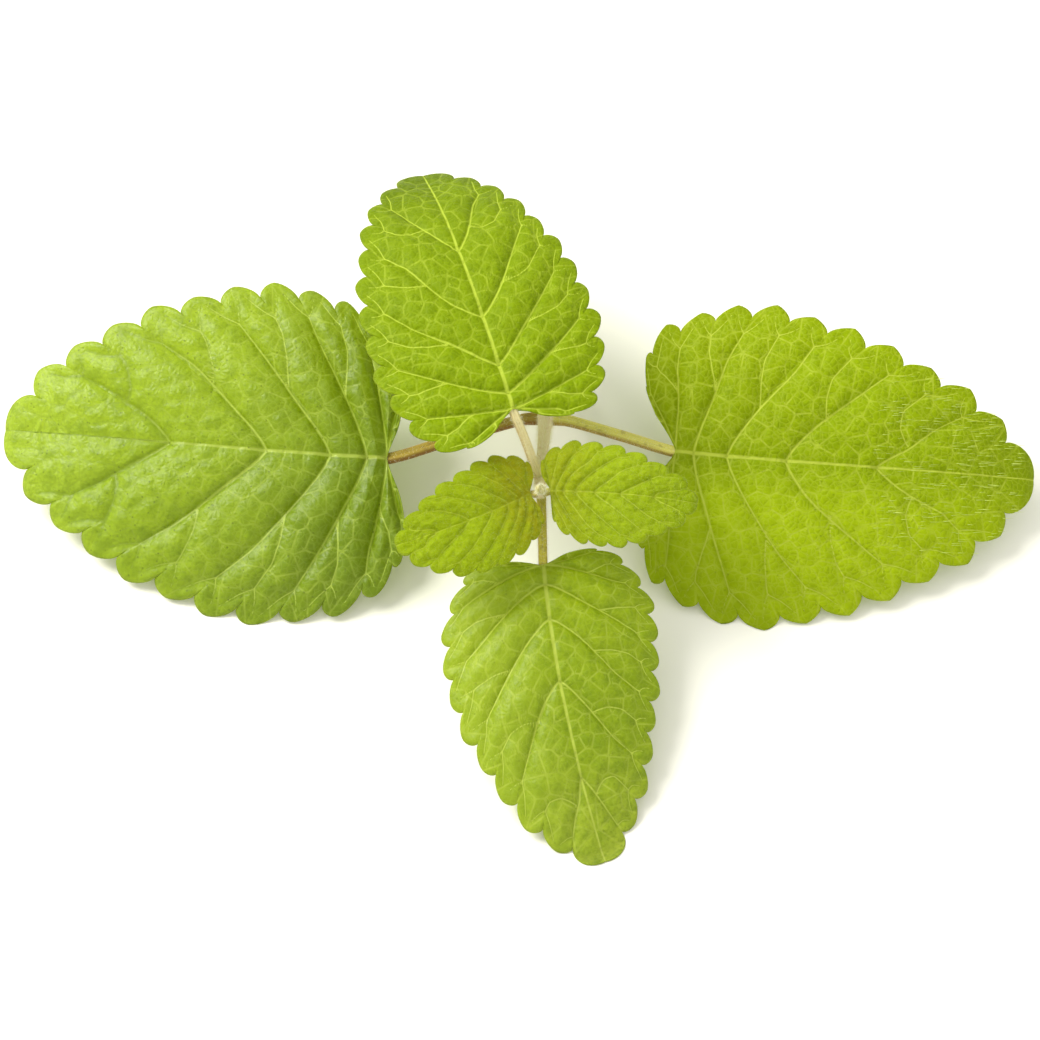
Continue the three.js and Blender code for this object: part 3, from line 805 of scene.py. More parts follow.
class Finish:
    """A material whose nodes are added and linked by short calls."""

    def __init__(self, name):
        self.material = bpy.data.materials.new(name)
        self.material.use_nodes = True
        self.tree = self.material.node_tree
        self.shader = self.tree.nodes["Principled BSDF"]

    def feed(self, socket, value):
        """Links another node's output to the socket, or sets the socket's own constant."""
        if hasattr(value, "is_output"):
            self.tree.links.new(value, socket)
        else:
            socket.default_value = value

    def node(self, kind, inputs=None, **settings):
        made = self.tree.nodes.new(kind)
        for key, value in settings.items():
            setattr(made, key, value)
        for key, value in (inputs or {}).items():
            self.feed(made.inputs[key], value)
        return made

    def mark(self, name):
        return self.node("ShaderNodeAttribute", attribute_name=name)

    def parts(self, vector):
        return self.node("ShaderNodeSeparateXYZ", {0: vector}).outputs

    def math(self, operation, a, b=0.0):
        return self.node("ShaderNodeMath", {0: a, 1: b}, operation=operation).outputs[0]

    def times(self, a, b):
        return self.math("MULTIPLY", a, b)

    def spread(self, value, low, high, start=0.0, end=1.0, smooth=True):
        kind = "SMOOTHSTEP" if smooth else "LINEAR"
        return self.node("ShaderNodeMapRange", {
            "Value": value, "From Min": low, "From Max": high, "To Min": start, "To Max": end,
        }, interpolation_type=kind).outputs["Result"]

    def blend(self, share, a, b):
        """Two colours mixed; inputs 6 and 7 and output 2 of the node are the ones for colours."""
        made = self.node("ShaderNodeMix", {0: share}, data_type="RGBA")
        self.feed(made.inputs[6], a)
        self.feed(made.inputs[7], b)
        return made.outputs[2]

    def noise(self, vector, scale, detail=2.0):
        return self.node("ShaderNodeTexNoise", {
            "Vector": vector, "Scale": scale, "Detail": detail,
        }).outputs["Fac"]

    def cells(self, vector, scale, feature="DISTANCE_TO_EDGE"):
        return self.node("ShaderNodeTexVoronoi", {
            "Vector": vector, "Scale": scale,
        }, feature=feature).outputs["Distance"]

    def set(self, **values):
        for key, value in values.items():
            self.feed(self.shader.inputs[key.replace("_", " ")], value)

    def glow(self, share, colour):
        """Lets part of the light through, as a thin blade does."""
        through = self.node("ShaderNodeBsdfTranslucent", {"Color": colour})
        both = self.node("ShaderNodeMixShader", {0: share})
        self.tree.links.new(self.shader.outputs[0], both.inputs[1])
        self.tree.links.new(through.outputs[0], both.inputs[2])
        self.tree.links.new(both.outputs[0], self.tree.nodes["Material Output"].inputs[0])

    def bump(self, height, strength):
        made = self.node("ShaderNodeBump", {
            "Height": height, "Strength": strength, "Distance": GRAIN_DEPTH})
        self.tree.links.new(made.outputs[0], self.shader.inputs["Normal"])


print("the grain of a finish is", GRAIN_DEPTH / MM, "mm deep")

# %% [markdown]
# Veins are paler and more yellow than the green around them, and they thin out: side veins and
# midrib in full, cross veins fainter and uneven, then the finest net. Drawn from the marks, the
# veins lie exactly in their grooves, which a painted map would have to be fitted to.

# %% Veins in the finish
CROSS_VEIN_WIDTH, CROSS_VEIN_REACH = 0.17, 0.9
MAIN_VEIN_WIDTH, MAIN_VEIN_REACH = 1.35, 4.0
MIDRIB_HALF_WIDTHS = (0.32, 0.12)
NET_SIZE = 1.0


def line_share(f, distance, sided, wide, reach):
    """1 on a line and 0 away from it: sided is crossed smoothly, distance rules out false sides."""
    thin = f.spread(f.math("ABSOLUTE", sided), 0.25 * wide, 1.3 * wide, 1.0, 0.0)
    return f.times(thin, f.spread(distance, 0.5 * reach, reach, 1.0, 0.0))


def leaf_lines(f, marks, look):
    scale = look["scale"]
    main = line_share(f, marks["vein"], marks["vein_side"], MAIN_VEIN_WIDTH, MAIN_VEIN_REACH)
    main = f.times(main, f.spread(marks["rim"], 0.25, 1.4 * scale))
    cross = line_share(f, marks["edge"], marks["edge_side"],
                       CROSS_VEIN_WIDTH * scale, CROSS_VEIN_REACH * scale)
    fading = f.spread(f.noise(marks["place"], 0.3 / scale), 0.35, 0.65, 0.5, 1.0)
    cross = f.times(f.times(cross, look["cross"]), fading)
    fine = f.spread(f.cells(marks["place"], NET_SIZE / scale), 0.0, 0.1, look["fine"], 0.0)
    thick, thin = (half * scale for half in MIDRIB_HALF_WIDTHS)
    half_midrib = f.spread(marks["along"], 0.0, 1.0, thick, thin, smooth=False)
    middle = f.math("DIVIDE", f.math("ABSOLUTE", marks["across"]), half_midrib)
    middle = f.spread(middle, 0.4, 1.5, 1.0, 0.0)
    return f.math("MAXIMUM", f.math("MAXIMUM", main, middle), f.math("MAXIMUM", cross, fine))


print("a cross vein of a large leaf is about", 2 * CROSS_VEIN_WIDTH, "mm wide")

# %% [markdown]
# No leaf is one green. Its colour drifts unevenly from the base to the tip, with soft patches of
# about two millimetres and mottles of half a millimetre. One half can be painted lighter: a
# painted sheen on the front leaf's left half, and painted light on the right leaf's lower half,
# which its roll and curl put in shade. Flat colour with one noise over it would look like
# plastic; two sizes of patches look grown.

# %% Greens
BROWN_TONE = tone(156, 134, 20)


def leaf_green(f, marks, look):
    place, patch = marks["place"], look["patch"]
    uneven = f.math("SUBTRACT", f.noise(place, 0.11), 0.5)
    drift = f.math("ADD", marks["along"], f.times(uneven, 0.5))
    green = f.blend(f.spread(drift, 0.02, 0.5), look["base"], look["middle"])
    green = f.blend(f.spread(drift, 0.55, 1.02), green, look["tip"])
    green = f.blend(f.spread(f.noise(place, 0.45, 3.0), 0.42, 0.75, 0, 0.6), green, patch)
    green = f.blend(f.spread(f.noise(place, 1.8, 3.0), 0.4, 0.7, 0, 0.35), green, patch)
    # Painted light: one half is painted lighter, as a sheen on the front leaf and as light on the
    # right leaf's lower half, which lies in shade.
    if look["side"]:
        way, painted_light_tone, strength = look["side"]
        half = f.spread(f.times(marks["across"], way), -1.0, 9.0, 0.0, strength)
        green = f.blend(half, green, painted_light_tone)
    return green


def browned(f, marks, look, colour):
    """Young leaves are brown at their feet, in blotches."""
    foot = f.spread(marks["along"], 0.0, 0.42, 1.0, 0.0)
    blotch = f.spread(f.noise(marks["place"], 0.8, 3.0), 0.3, 0.62, 0.45, 1.0)
    return f.blend(f.times(f.times(foot, blotch), look["brown"]), colour, BROWN_TONE)


print("the brown of a young leaf's foot in linear light:", BROWN_TONE)

# %% [markdown]
# The whole finish puts the veins over the green, deepens the fields, paints shade beside the
# veins as if they lay in grooves, dots the upper face with the tiny pits of its oil glands and
# darkens the very rim of the teeth in patches. On the glossy leaf it also paints the veins darker
# toward the tip, as painted shade in their grooves. The underside is duller. Light
# must also pass through a thin blade, so part of the shader is translucent: without it a leaf
# looks painted. Fine domes between the smallest veins are left to a bump.

# %% The finish of a leaf
UNDER_TONE = tone(150, 172, 84)
UNDER_VEIN_TONE = tone(196, 206, 130)
RIM_TONE = tone(128, 138, 50)
PIT_TONE = tone(96, 118, 16)
THROUGH_TONE = tone(226, 230, 52)
# Each look also sets painted shade beside the veins, painted shade on the veins toward the tip, and
# painted light on one half of the blade.
COMMON_LOOK = dict(glow=0.5, fuzz=0.0, brown=0.0, scale=1.0, shade=0.2, side=None, pits=0.35,
                   dark_tip=0.0)


def leaf_marks(f):
    """The marks that build_blade left on the mesh, by name."""
    place = f.mark("leaf_place").outputs["Vector"]
    _, across, under = f.parts(place)
    vein, vein_side, rim = f.parts(f.mark("leaf_veins").outputs["Vector"])
    edge, edge_side, along = f.parts(f.mark("leaf_net").outputs["Vector"])
    return dict(place=place, across=across, under=under, vein=vein, vein_side=vein_side,
                rim=rim, edge=edge, edge_side=edge_side, along=along)


def upper_colour(f, marks, look, drawn):
    patch, scale = look["patch"], look["scale"]
    green = leaf_green(f, marks, look)
    green = f.blend(f.spread(marks["edge"], 0.2 * scale, 1.4 * scale, 0.0, 0.2), green, patch)
    # Painted shade: close beside the veins the green darkens toward the patch tone, as in a groove.
    green = f.blend(f.spread(marks["vein"], 1.5, 6.0, look["shade"], 0.0), green, patch)
    # Painted shade: on the glossy leaf the veins darken toward the patch tone from the middle to
    # the tip, where they lie in shaded grooves without gloss.
    dark = f.spread(marks["along"], 0.35, 0.75, 0.0, look["dark_tip"])
    colour = f.blend(drawn, green, f.blend(dark, look["vein"], patch))
    if look["brown"]:
        colour = browned(f, marks, look, colour)
    pit = f.spread(f.cells(marks["place"], 0.8, "F1"), 0.07, 0.16, look["pits"], 0.0)
    colour = f.blend(f.times(pit, f.math("SUBTRACT", 1.0, marks["under"])), colour, PIT_TONE)
    # The very rim of the teeth darkens toward an olive tone in patches.
    rim_patches = f.spread(f.noise(marks["place"], 0.25), 0.35, 0.6)
    return f.blend(f.times(f.spread(marks["rim"], 0.05, 0.5, 0.4, 0.0), rim_patches), colour, RIM_TONE)


def leaf_texture(f, marks, look):
    """Bumps the surface and returns its roughness."""
    place = marks["place"]
    domes = f.spread(f.cells(place, NET_SIZE / look["scale"]), 0.0, 0.35, 0.0, 1.0)
    f.bump(f.math("ADD", f.times(domes, 0.8), f.times(f.noise(place, 4.0), 0.4)), look["grain"])
    rough = f.spread(f.noise(place, 1.3), 0.3, 0.7, look["rough"] - 0.05, look["rough"] + 0.07)
    return f.math("ADD", rough, f.times(marks["under"], 0.2))


def leaf_finish(name, **own_look):
    look = {**COMMON_LOOK, **own_look}
    f = Finish(name)
    marks = leaf_marks(f)
    drawn = leaf_lines(f, marks, look)
    below = f.blend(f.times(drawn, 0.7), UNDER_TONE, UNDER_VEIN_TONE)
    colour = f.blend(marks["under"], upper_colour(f, marks, look, drawn), below)
    f.set(Base_Color=colour, Roughness=leaf_texture(f, marks, look),
          Specular_IOR_Level=look["gloss"], Sheen_Weight=look["fuzz"], Sheen_Roughness=0.45)
    f.glow(look["glow"], f.blend(0.55, colour, THROUGH_TONE))
    return f.material


print("unless told otherwise a leaf looks like this:", COMMON_LOOK)

# %% [markdown]
# The left leaf is dark and glossy with a quilted sheen, its partner matt and yellower. The back
# leaf darkens to its tip, the front one lightens, and the young pair is matt, fuzzy and brown at
# its foot. One finish for all six would be less work, but no two leaves on a plant look alike.

# %% Six leaves
# All six have painted shade beside their veins. The glossy left leaf also has its veins painted
# darker toward the tip as shade, the right one is painted lighter on its lower half, which its roll
# and curl put in shade, and the front one has a painted sheen on its left half.
finishes = {
    "leaf_large_left": leaf_finish(
        "glossy_green", base=tone(120, 148, 0), middle=tone(163, 191, 22), tip=tone(178, 205, 50),
        patch=tone(116, 146, 0), vein=tone(196, 216, 88), gloss=0.55, rough=0.43, cross=0.5,
        fine=0.2, grain=0.6, shade=0.5, pits=0.8, dark_tip=0.8),
    "leaf_large_right": leaf_finish(
        "matt_green", base=tone(150, 173, 2), middle=tone(160, 186, 4), tip=tone(138, 162, 6),
        patch=tone(124, 150, 0), vein=tone(206, 220, 84), gloss=0.12, rough=0.54, cross=0.6,
        fine=0.3, grain=0.9, side=(-1, tone(192, 216, 18), 0.7)),
    "leaf_medium_back": leaf_finish(
        "clear_green", base=tone(136, 162, 0), middle=tone(128, 153, 4), tip=tone(84, 106, 0),
        patch=tone(106, 132, 0), vein=tone(184, 203, 66), gloss=0.1, rough=0.54, glow=0.28,
        cross=0.45, fine=0.12, grain=0.8),
    "leaf_medium_front": leaf_finish(
        "light_green", base=tone(166, 190, 2), middle=tone(150, 176, 6), tip=tone(196, 216, 58),
        patch=tone(118, 148, 0), vein=tone(204, 220, 88), gloss=0.42, rough=0.44, cross=0.52,
        fine=0.16, grain=0.5, shade=0.35, side=(-1, tone(168, 192, 46), 0.6)),
    "leaf_small_left": leaf_finish(
        "young_green_left", base=tone(164, 180, 6), middle=tone(168, 192, 12),
        tip=tone(160, 186, 20), patch=tone(140, 164, 2), vein=tone(196, 212, 62), gloss=0.12,
        rough=0.6, fuzz=0.06, brown=0.6, scale=0.5, cross=0.45, fine=0.35, grain=0.9, shade=0.4),
    "leaf_small_right": leaf_finish(
        "young_green_right", base=tone(170, 190, 14), middle=tone(174, 198, 22),
        tip=tone(148, 174, 10), patch=tone(140, 166, 4), vein=tone(200, 216, 72), gloss=0.12,
        rough=0.6, fuzz=0.06, brown=0.3, scale=0.5, cross=0.45, fine=0.35, grain=0.9, shade=0.4),
}
surfaces = {}
for name, leaf in LEAVES.items():
    surfaces[name] = build_blade(name, leaf, finishes[name])

# %% [markdown]
# Stem and petioles are tubes along smooth curves. A curve object with a bevel would be quicker,
# but its section is the same all round; a mint's stem is square, and a petiole has a channel
# along its upper side. So rings of points are placed in code, each with its own section.

# %% Smooth paths
PATH_STEPS = 40


def on_the_way(p, q, start, end, t):
    """Where t is between p, reached at start, and q, reached at end."""
    return (end - t) / (end - start) * p + (t - start) / (end - start) * q


def smooth_path(knots, count):
    """Points at even steps along a centripetal curve through the knots, with their directions."""
    p = np.array(knots, float)
    p = np.vstack([2 * p[0] - p[1], p, 2 * p[-1] - p[-2]])
    when = np.concatenate([[0], np.cumsum(np.linalg.norm(np.diff(p, axis=0), axis=1) ** 0.5)])
    line = []
    for i in range(1, len(p) - 2):
        t0, t1, t2, t3 = when[i - 1:i + 3]
        t = np.linspace(t1, t2, PATH_STEPS, endpoint=i == len(p) - 3)[:, None]
        early = on_the_way(p[i - 1], p[i], t0, t1, t)
        here = on_the_way(p[i], p[i + 1], t1, t2, t)
        late = on_the_way(p[i + 1], p[i + 2], t2, t3, t)
        before = on_the_way(early, here, t0, t2, t)
        after = on_the_way(here, late, t1, t3, t)
        line.append(on_the_way(before, after, t1, t2, t))
    line = np.vstack(line)
    along = np.concatenate([[0], np.cumsum(np.linalg.norm(np.diff(line, axis=0), axis=1))])
    at = np.linspace(0, along[-1], count)
    points = np.stack([np.interp(at, along, line[:, k]) for k in range(3)], -1)
    ways = np.gradient(points, axis=0)
    return points, ways / np.linalg.norm(ways, axis=1, keepdims=True), at


print("a quarter turn through three knots is",
      round(smooth_path([(1, 0, 0), (0.71, 0.71, 0), (0, 1, 0)], 50)[2][-1], 2), "long")

# %% [markdown]
# A tube has a ring of points round each place on its path and is closed by a fan at either end.
# Each point keeps its share of the length and its side, so that the finish can tell a channel.

# %% Tubes


def tube(knots, count, sides, radius, upward):
    """A closed tube; radius(distance, angle) is asked at every point, angle 0 is the upper side."""
    points, ways, at = smooth_path(knots, count)
    side = np.cross(ways, upward)
    side /= np.linalg.norm(side, axis=1, keepdims=True)
    top = np.cross(side, ways)
    angle = np.linspace(0, 2 * np.pi, sides, endpoint=False)
    distance, turn = np.meshgrid(at, angle, indexing="ij")
    reach = radius(distance, np.where(turn > np.pi, turn - 2 * np.pi, turn))[..., None]
    ring = points[:, None] + reach * (
        top[:, None] * np.cos(turn)[..., None] + side[:, None] * np.sin(turn)[..., None])
    index = np.arange(count * sides).reshape(count, sides)
    index = np.hstack([index, index[:, :1]])
    first, last, far = count * sides, count * sides + 1, (count - 1) * sides
    ends = [[first, (i + 1) % sides, i] for i in range(sides)]
    ends += [[last, far + i, far + (i + 1) % sides] for i in range(sides)]
    everything = np.vstack([ring.reshape(-1, 3), points[0], points[-1]])
    place = np.stack([distance / at[-1], np.cos(turn), np.sin(turn)], -1).reshape(-1, 3)
    place = np.vstack([place, [0, 0, 0], [1, 0, 0]])
    triangles = np.concatenate([grid_triangles(index), np.array(ends)])
    return everything, outward(everything, triangles), place, at[-1]


def outward(points, triangles):
    """Turns the faces over if the closed body they bound would count as a hole."""
    a, b, c = (points[triangles[:, k]] for k in range(3))
    volume = np.einsum("ij,ij->i", a, np.cross(b, c)).sum()
    return triangles if volume > 0 else triangles[:, ::-1]


rod = tube([(0, 0, 0), (0, 5, 0)], 2, 4, lambda distance, angle: np.ones_like(angle),
           np.array([0.0, 0.0, 1.0]))
print("a square rod of two rings has", len(rod[1]), "triangles")

# %% [markdown]
# Stem and petioles share one finish: two tones that follow the channel or fine streaks, a darker
# speck here and there, and a little light that scatters inside the juicy stalk. The streaks are a
# noise stretched along the stalk, which is cheaper than a fine ridge in every mesh.

# %% The finish of a stalk
STREAK_STRETCH = (3.0, 9.0, 9.0)


def stalk_finish(name, edge_tone, middle_tone, speck_tone, channel=True):
    f = Finish(name)
    stalk_place = f.mark("stalk_place").outputs["Vector"]
    top = f.parts(stalk_place)[1]
    place = f.node("ShaderNodeTexCoord").outputs["Object"]
    stretched = f.node("ShaderNodeMapping", {"Vector": stalk_place, "Scale": STREAK_STRETCH})
    streak = f.noise(stretched.outputs[0], 1.4, 3.0)
    share = f.spread(top, 0.35, 0.9) if channel else f.spread(streak, 0.4, 0.6)
    colour = f.blend(share, edge_tone, middle_tone)
    colour = f.blend(f.spread(streak, 0.5, 0.75, 0, 0.5), colour, speck_tone)
    colour = f.blend(f.spread(f.noise(place, 900.0), 0.55, 0.7, 0, 0.35), colour, speck_tone)
    f.bump(f.math("ADD", streak, f.times(f.noise(place, 2500.0), 0.5)), 0.5)
    f.set(Base_Color=colour, Roughness=f.spread(streak, 0.3, 0.7, 0.5, 0.68),
          Specular_IOR_Level=0.25, Subsurface_Weight=0.15,
          Subsurface_Radius=(1.0, 0.8, 0.4), Subsurface_Scale=0.0006)
    return f.material


print("a stalk's noise is stretched by", STREAK_STRETCH, "along, up and across it")

# %% [markdown]
# The stem is square with rounded corners, swells at the nodes and is hairy all over. It is
# straw-coloured with a pink tinge. It rises from its cut end through the two nodes to the tip.

# %% Stem
STEM_KNOTS = [(5, 31.5, 0.95), (4.5, 25, 5), LARGE_NODE, (3.5, 9, 14.4), MEDIUM_NODE, APEX]
STEM_WIDTH, STEM_TIP_WIDTH = 2.8, 1.4
NODE_SWELLING, NODE_LENGTH = 0.28, 1.6
SQUARENESS, CORNER_ROUNDING = 0.11, 0.03
STEM_UPWARD = np.array([0.0, 0.55, 0.83])
stem_line, stem_ways, stem_at = smooth_path(STEM_KNOTS, 400)
stem_length = stem_at[-1]


def nearest_on_stem(point):
    return np.argmin(np.linalg.norm(stem_line - np.array(point), axis=1))


def stem_radius(distance, angle):
    plain = (STEM_WIDTH + (STEM_TIP_WIDTH - STEM_WIDTH) * distance / stem_length) / 2
    nodes = [stem_at[nearest_on_stem(p)] for p in (LARGE_NODE, MEDIUM_NODE)]
    swell = sum(NODE_SWELLING * np.exp(-((distance - n) / NODE_LENGTH) ** 2) for n in nodes)
    square = 1 + SQUARENESS * np.cos(4 * angle + np.pi) + CORNER_ROUNDING * np.cos(8 * angle)
    return plain * (1 + swell) * square


points, triangles, place, _ = tube(STEM_KNOTS, 200, 40, stem_radius, STEM_UPWARD)
points[:, 2] = np.maximum(points[:, 2], 0)
stem_finish = stalk_finish("straw_stem", tone(214, 200, 140), tone(226, 214, 166),
                           tone(196, 160, 116), channel=False)
stem = new_piece("stem_shoot", points, triangles, stem_finish)
mark(stem, "stalk_place", place)
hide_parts("stem")
surfaces["stem"] = dict(points=points, triangles=triangles)
print("the stem is", round(stem_length, 1), "mm long,", len(triangles), "triangles")

# %% [markdown]
# A petiole leaves the stem square to it, flares at its foot, and runs on under the blade as the
# keel of the midrib. Its upper side is a shallow channel between two ridges.

# %% The shape of a petiole
STALK_COVER = 0.2
STALK_LEAD = 1.2
STALK_OVERLAP = (0.0, 0.05, 0.1)
STALK_DIVE = 5.0
SHORT_STALK = 4
FOOT_FLARE, FOOT_LENGTH = 0.25, 2.0
END_TAPER = 0.55
CHANNEL_DEPTH, CHANNEL_WIDTH = 0.3, 0.42
RIDGE_HEIGHT, RIDGE_PLACE, RIDGE_WIDTH = 0.1, 0.85, 0.35


def stalk_knots(leaf):
    node, base = np.array(leaf["node"]), np.array(leaf["base"])
    axis = stem_ways[nearest_on_stem(node)]
    away = base - node
    square = away - axis * (away @ axis)
    square /= np.linalg.norm(square)
    knots = [node + square * leaf["clearance"] * 0.4]
    if np.linalg.norm(away) > SHORT_STALK:
        start = node + square * leaf["clearance"]
        lead = start + square * STALK_LEAD
        knots += [start, lead, (lead + base) / 2]
    for share in STALK_OVERLAP:
        s = np.array(share * leaf["end"])
        normal = sheet_normal(leaf, np.maximum(s, 0.3), np.array(0.0))
        cover = leaf["petiole"] / 2 * (1 - share * 4) + STALK_COVER + STALK_DIVE * share
        knots.append(sheet(leaf, s, np.array(0.0)) - normal * cover)
    return knots


def stalk_radius(leaf, knots):
    whole = smooth_path(knots, 200)[2][-1]
    overlap = whole - STALK_OVERLAP[-1] * leaf["end"]

    def radius(distance, angle):
        foot = 1 + FOOT_FLARE * np.exp(-distance / FOOT_LENGTH)
        thin = 1 - END_TAPER * np.clip((distance - overlap) / (whole - overlap), 0, 1)
        channel = (1 - CHANNEL_DEPTH * ridge(angle, CHANNEL_WIDTH)
                   + RIDGE_HEIGHT * ridge(np.abs(angle) - RIDGE_PLACE, RIDGE_WIDTH))
        return leaf["petiole"] / 2 * foot * thin * channel
    return radius


for name, leaf in LEAVES.items():
    print("the petiole of", name, "passes", len(stalk_knots(leaf)), "knots")

# %% [markdown]
# The petioles differ in colour as the leaves do: the left one is brownish, the right one
# yellow, and those nearer the bud are pale. Each has a darker tone for its sides and a lighter
# one for its channel.

# %% Petioles
PETIOLE_SPECKS = tone(120, 96, 50)
STALK_TONES = {
    "leaf_large_left": (tone(140, 100, 44), tone(162, 140, 56)),
    "leaf_large_right": (tone(176, 150, 74), tone(226, 220, 112)),
    "leaf_medium_back": (tone(206, 184, 126), tone(228, 216, 156)),
    "leaf_medium_front": (tone(182, 156, 66), tone(208, 198, 78)),
    "leaf_small_left": (tone(166, 148, 66), tone(186, 176, 76)),
    "leaf_small_right": (tone(176, 164, 72), tone(192, 188, 82)),
}
for name, leaf in LEAVES.items():
    knots = stalk_knots(leaf)
    rings = int(20 + 4 * np.linalg.norm(np.array(leaf["base"]) - leaf["node"]))
    points, triangles, place, whole = tube(knots, rings, 28, stalk_radius(leaf, knots),
                                           np.array([0.0, 0.0, 1.0]))
    finish = stalk_finish(name + "_petiole_skin", *STALK_TONES[name], PETIOLE_SPECKS)
    petiole = new_piece(name + "_petiole", points, triangles, finish)
    mark(petiole, "stalk_place", place)
    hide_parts(name)
    surfaces[name + "_petiole"] = dict(points=points, triangles=triangles)
    print(petiole.name, "is", round(whole, 1), "mm long")

# %% [markdown]
# The bud is the next pairs of leaves, still folded round each other: little pale scales, cupped
# and pointed, in crossed pairs. A plain drop would do from afar; scales catch the light right.

# %% Bud
BUD_FOOT = np.array(APEX) + [0, 0, 1.0]
SCALE_LENGTH, SCALE_WIDTH, SCALE_THICKNESS = 2.2, 1.5, 0.16
SCALE_WRAP = 1.1


def bud_scale(turn, lean, size):
    u, v = np.meshgrid(np.linspace(0, 1, 14), np.linspace(-1, 1, 11), indexing="ij")
    half = SCALE_WIDTH / 2 * np.sin(np.pi * (0.12 + 0.88 * u) ** 0.8) ** 0.8 * size
    wrap = v * SCALE_WRAP
    out = (0.5 + 0.35 * np.sin(np.pi * u)) * size * (1 - 0.97 * u**2) + 0.3 * lean * u
    x = out * np.cos(wrap) + 0.05 * np.sin(9 * v)
    y = half * np.sin(wrap)
    z = u * SCALE_LENGTH * size * (1 - 0.06 * v * v)
    inner = np.stack([x - SCALE_THICKNESS, y * 0.86, z * 0.97], -1)
    outer = np.stack([x, y, z], -1)
    whole = closed(grid_triangles(np.arange(u.size).reshape(u.shape)), u.size)
    points = np.concatenate([outer.reshape(-1, 3), inner.reshape(-1, 3)])
    c, s = math.cos(turn), math.sin(turn)
    points = points @ np.array([[c, s, 0], [-s, c, 0], [0, 0, 1]])
    return points + BUD_FOOT, outward(points, whole)


bud_points, bud_triangles = [], []
for turn, lean, size in ((0.1, 0.25, 1.0), (3.2, 0.2, 0.95), (1.7, 0.0, 0.8), (4.8, 0.05, 0.85)):
    scale_points, scale_triangles = bud_scale(turn, lean, size)
    bud_triangles.append(scale_triangles + sum(len(p) for p in bud_points))
    bud_points.append(scale_points)
bud_points, bud_triangles = np.concatenate(bud_points), np.concatenate(bud_triangles)
bud_skin = Finish("pale_bud")
bud_place = bud_skin.node("ShaderNodeTexCoord").outputs["Object"]
bud_patch = bud_skin.noise(bud_place, 1500.0, 3.0)
bud_skin.set(Base_Color=bud_skin.blend(bud_skin.spread(bud_patch, 0.35, 0.65),
                                       tone(200, 192, 126), tone(170, 164, 78)),
             Roughness=0.7, Specular_IOR_Level=0.2, Subsurface_Weight=0.3,
             Subsurface_Radius=(1.0, 0.9, 0.5), Subsurface_Scale=0.0005)
bud_skin.bump(bud_patch, 0.5)
bud = new_piece("bud_scales", bud_points, bud_triangles, bud_skin.material)
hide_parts("bud")
surfaces["bud"] = dict(points=bud_points, triangles=bud_triangles)
print("the bud has", len(bud_triangles), "triangles")

# %% [markdown]
# Lemon balm is a hairy plant: short stiff hairs on stem, petioles and young leaves, and scattered
# ones on the old blades and along their margins. A hair system is simplest, but it isn't a mesh,
# so it is lost when the model is passed on. Each hair here is a thin closed spike of four faces.

# %% Where hairs stand


def scatter(surface, count, rng, keep=None):
    """Random points on a surface, even by area, with the normals of the faces they lie on."""
    points, triangles = surface["points"], surface["triangles"]
    if keep is not None:
        triangles = triangles[keep[triangles].all(axis=1)]
    a, b, c = (points[triangles[:, k]] for k in range(3))
    normal = np.cross(b - a, c - a)
    area = np.linalg.norm(normal, axis=1)
    chosen = rng.choice(len(triangles), count, p=area / area.sum())
    u, v = rng.random((2, count))
    over = u + v > 1
    u, v = np.where(over, 1 - u, u)[:, None], np.where(over, 1 - v, v)[:, None]
    spots = a[chosen] + u * (b - a)[chosen] + v * (c - a)[chosen]
    return spots, normal[chosen] / np.maximum(area[chosen], 1e-9)[:, None]


some_spots, _ = scatter(surfaces["stem"], 100, np.random.default_rng(0))
print("a hundred places on the stem reach from y =", round(some_spots[:, 1].min(), 1), "to",
      round(some_spots[:, 1].max(), 1), "mm")

# %% [markdown]
# A spike leaves its place about square to the skin, leans a little at random and starts just
# under the surface, so that no foot floats. None may dip below the surface the sprig lies on.

# %% Growing hairs
HAIR_WIDTH = 0.035
ROOT_DEPTH = 0.04
LOWEST = 0.005


def spikes(spots, normals, lengths, rng, lean=0.6, width=HAIR_WIDTH, way=(0, 0, 0)):
    count = len(spots)
    ways = normals + lean * rng.normal(size=(count, 3)) * 0.5 + np.array(way)
    ways /= np.linalg.norm(ways, axis=1, keepdims=True)
    side = np.cross(ways, rng.normal(size=(count, 3)))
    side /= np.linalg.norm(side, axis=1, keepdims=True)
    other = np.cross(ways, side)
    root = spots - normals * ROOT_DEPTH
    corners = [root + width / 2 * (side * math.cos(turn) + other * math.sin(turn))
               for turn in np.linspace(0, 2 * np.pi, 3, endpoint=False)]
    tip = spots + ways * lengths[:, None]
    points = np.stack([*corners, tip], 1).reshape(-1, 3)
    start = np.arange(count)[:, None] * 4
    faces = np.array([[0, 2, 1], [0, 1, 3], [1, 2, 3], [2, 0, 3]])
    return points, (start[:, :, None] + faces).reshape(-1, 3)


def hair_finish(name, foot_tone, tip_tone):
    f = Finish(name)
    place = f.node("ShaderNodeTexCoord").outputs["Object"]
    f.set(Base_Color=f.blend(f.noise(place, 400.0), foot_tone, tip_tone),
          Roughness=0.6, Specular_IOR_Level=0.15)
    return f.material


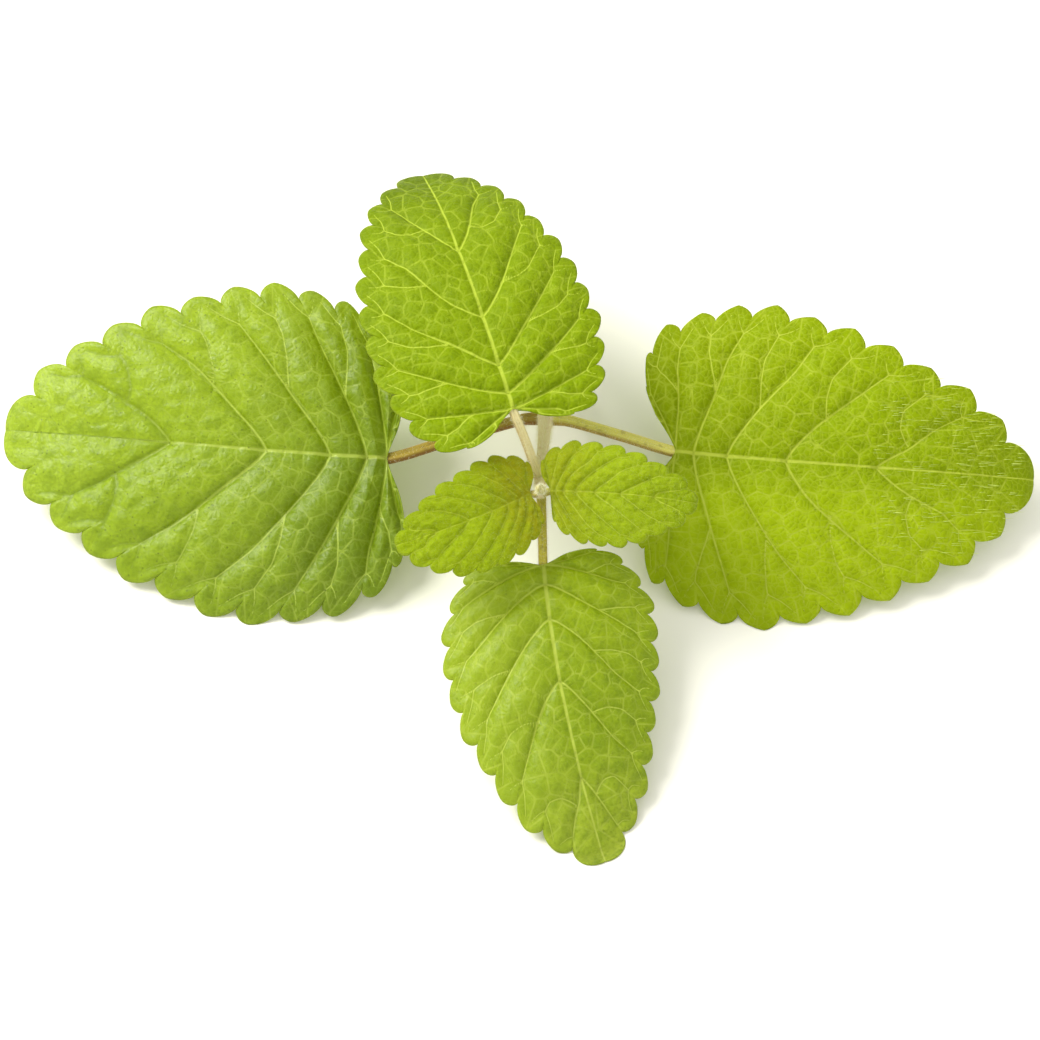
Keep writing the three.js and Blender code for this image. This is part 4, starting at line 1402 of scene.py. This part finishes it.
def grow_hairs(name, slot, skin, on, count, lengths, seed, keep=None, **shape):
    rng = np.random.default_rng(seed)
    spots, normals = scatter(surfaces[on], count, rng, keep)
    lengths = rng.uniform(*lengths, count)
    points, triangles = spikes(spots, normals, lengths, rng, **shape)
    points[:, 2] = np.maximum(points[:, 2], LOWEST)
    hairs = new_piece(name, points, triangles, skin, smooth=False)
    print(name, count, "hairs")


pale_hair = hair_finish("pale_hair", tone(232, 230, 186), tone(250, 248, 226))
green_hair = hair_finish("green_hair", tone(176, 198, 70), tone(206, 218, 116))
silver_hair = hair_finish("silver_hair", tone(178, 198, 72), tone(206, 220, 122))
print("a hair is", HAIR_WIDTH, "mm wide at its root")

# %% [markdown]
# Stem and petioles bristle all over. A blade has short hairs along its margin and longer ones
# over its face, and the two young leaves are woolly with them. Every crop of hairs has a seed of
# its own, so one can be changed without moving the others.

# %% Hairs
grow_hairs("stem_hairs", "stem", pale_hair, on="stem", count=3200, lengths=(0.35, 0.8), seed=11)
for k, (name, leaf) in enumerate(LEAVES.items()):
    young = is_young(leaf)
    rim = surfaces[name]["flat"][-1]
    grow_hairs(name + "_petiole_hairs", name, pale_hair, on=name + "_petiole",
               count=300 if young else 1400, lengths=(0.25, 0.6), seed=20 + k)
    grow_hairs(name + "_margin_hairs", name, green_hair, on=name, count=700,
               lengths=(0.15, 0.35), seed=40 + k, keep=rim < (0.35 if young else 0.5), width=0.025)
    grow_hairs(name + "_face_hairs", name, green_hair, on=name, count=4500 if young else 1200,
               lengths=(0.25, 0.6), seed=60 + k, lean=0.9, width=0.03 if young else 0.02)
grow_hairs("bud_hairs", "bud", pale_hair, on="bud", count=900, lengths=(0.3, 0.7), seed=90,
           lean=0.8)

# %% [markdown]
# Toward the tip of the right leaf the hairs are long and lie flat, all one way. Combing them by
# hand would work; here one added direction, much longer than the normal, lays them down.

# %% Lying hairs
COMBED = (6.0, 0.3, -0.6)
COMBED_FROM, COMBED_TO, COMBED_HALF = 30, 54, 14

tip_s, tip_t = surfaces["leaf_large_right"]["flat"][:2]
combed = (tip_s > COMBED_FROM) & (tip_s < COMBED_TO) & (np.abs(tip_t - 1) < COMBED_HALF)
grow_hairs("leaf_large_right_lying_hairs", "leaf_large_right", silver_hair,
           on="leaf_large_right", count=300, lengths=(1.0, 2.0), seed=95, keep=combed, lean=0.3,
           width=0.1, way=COMBED)
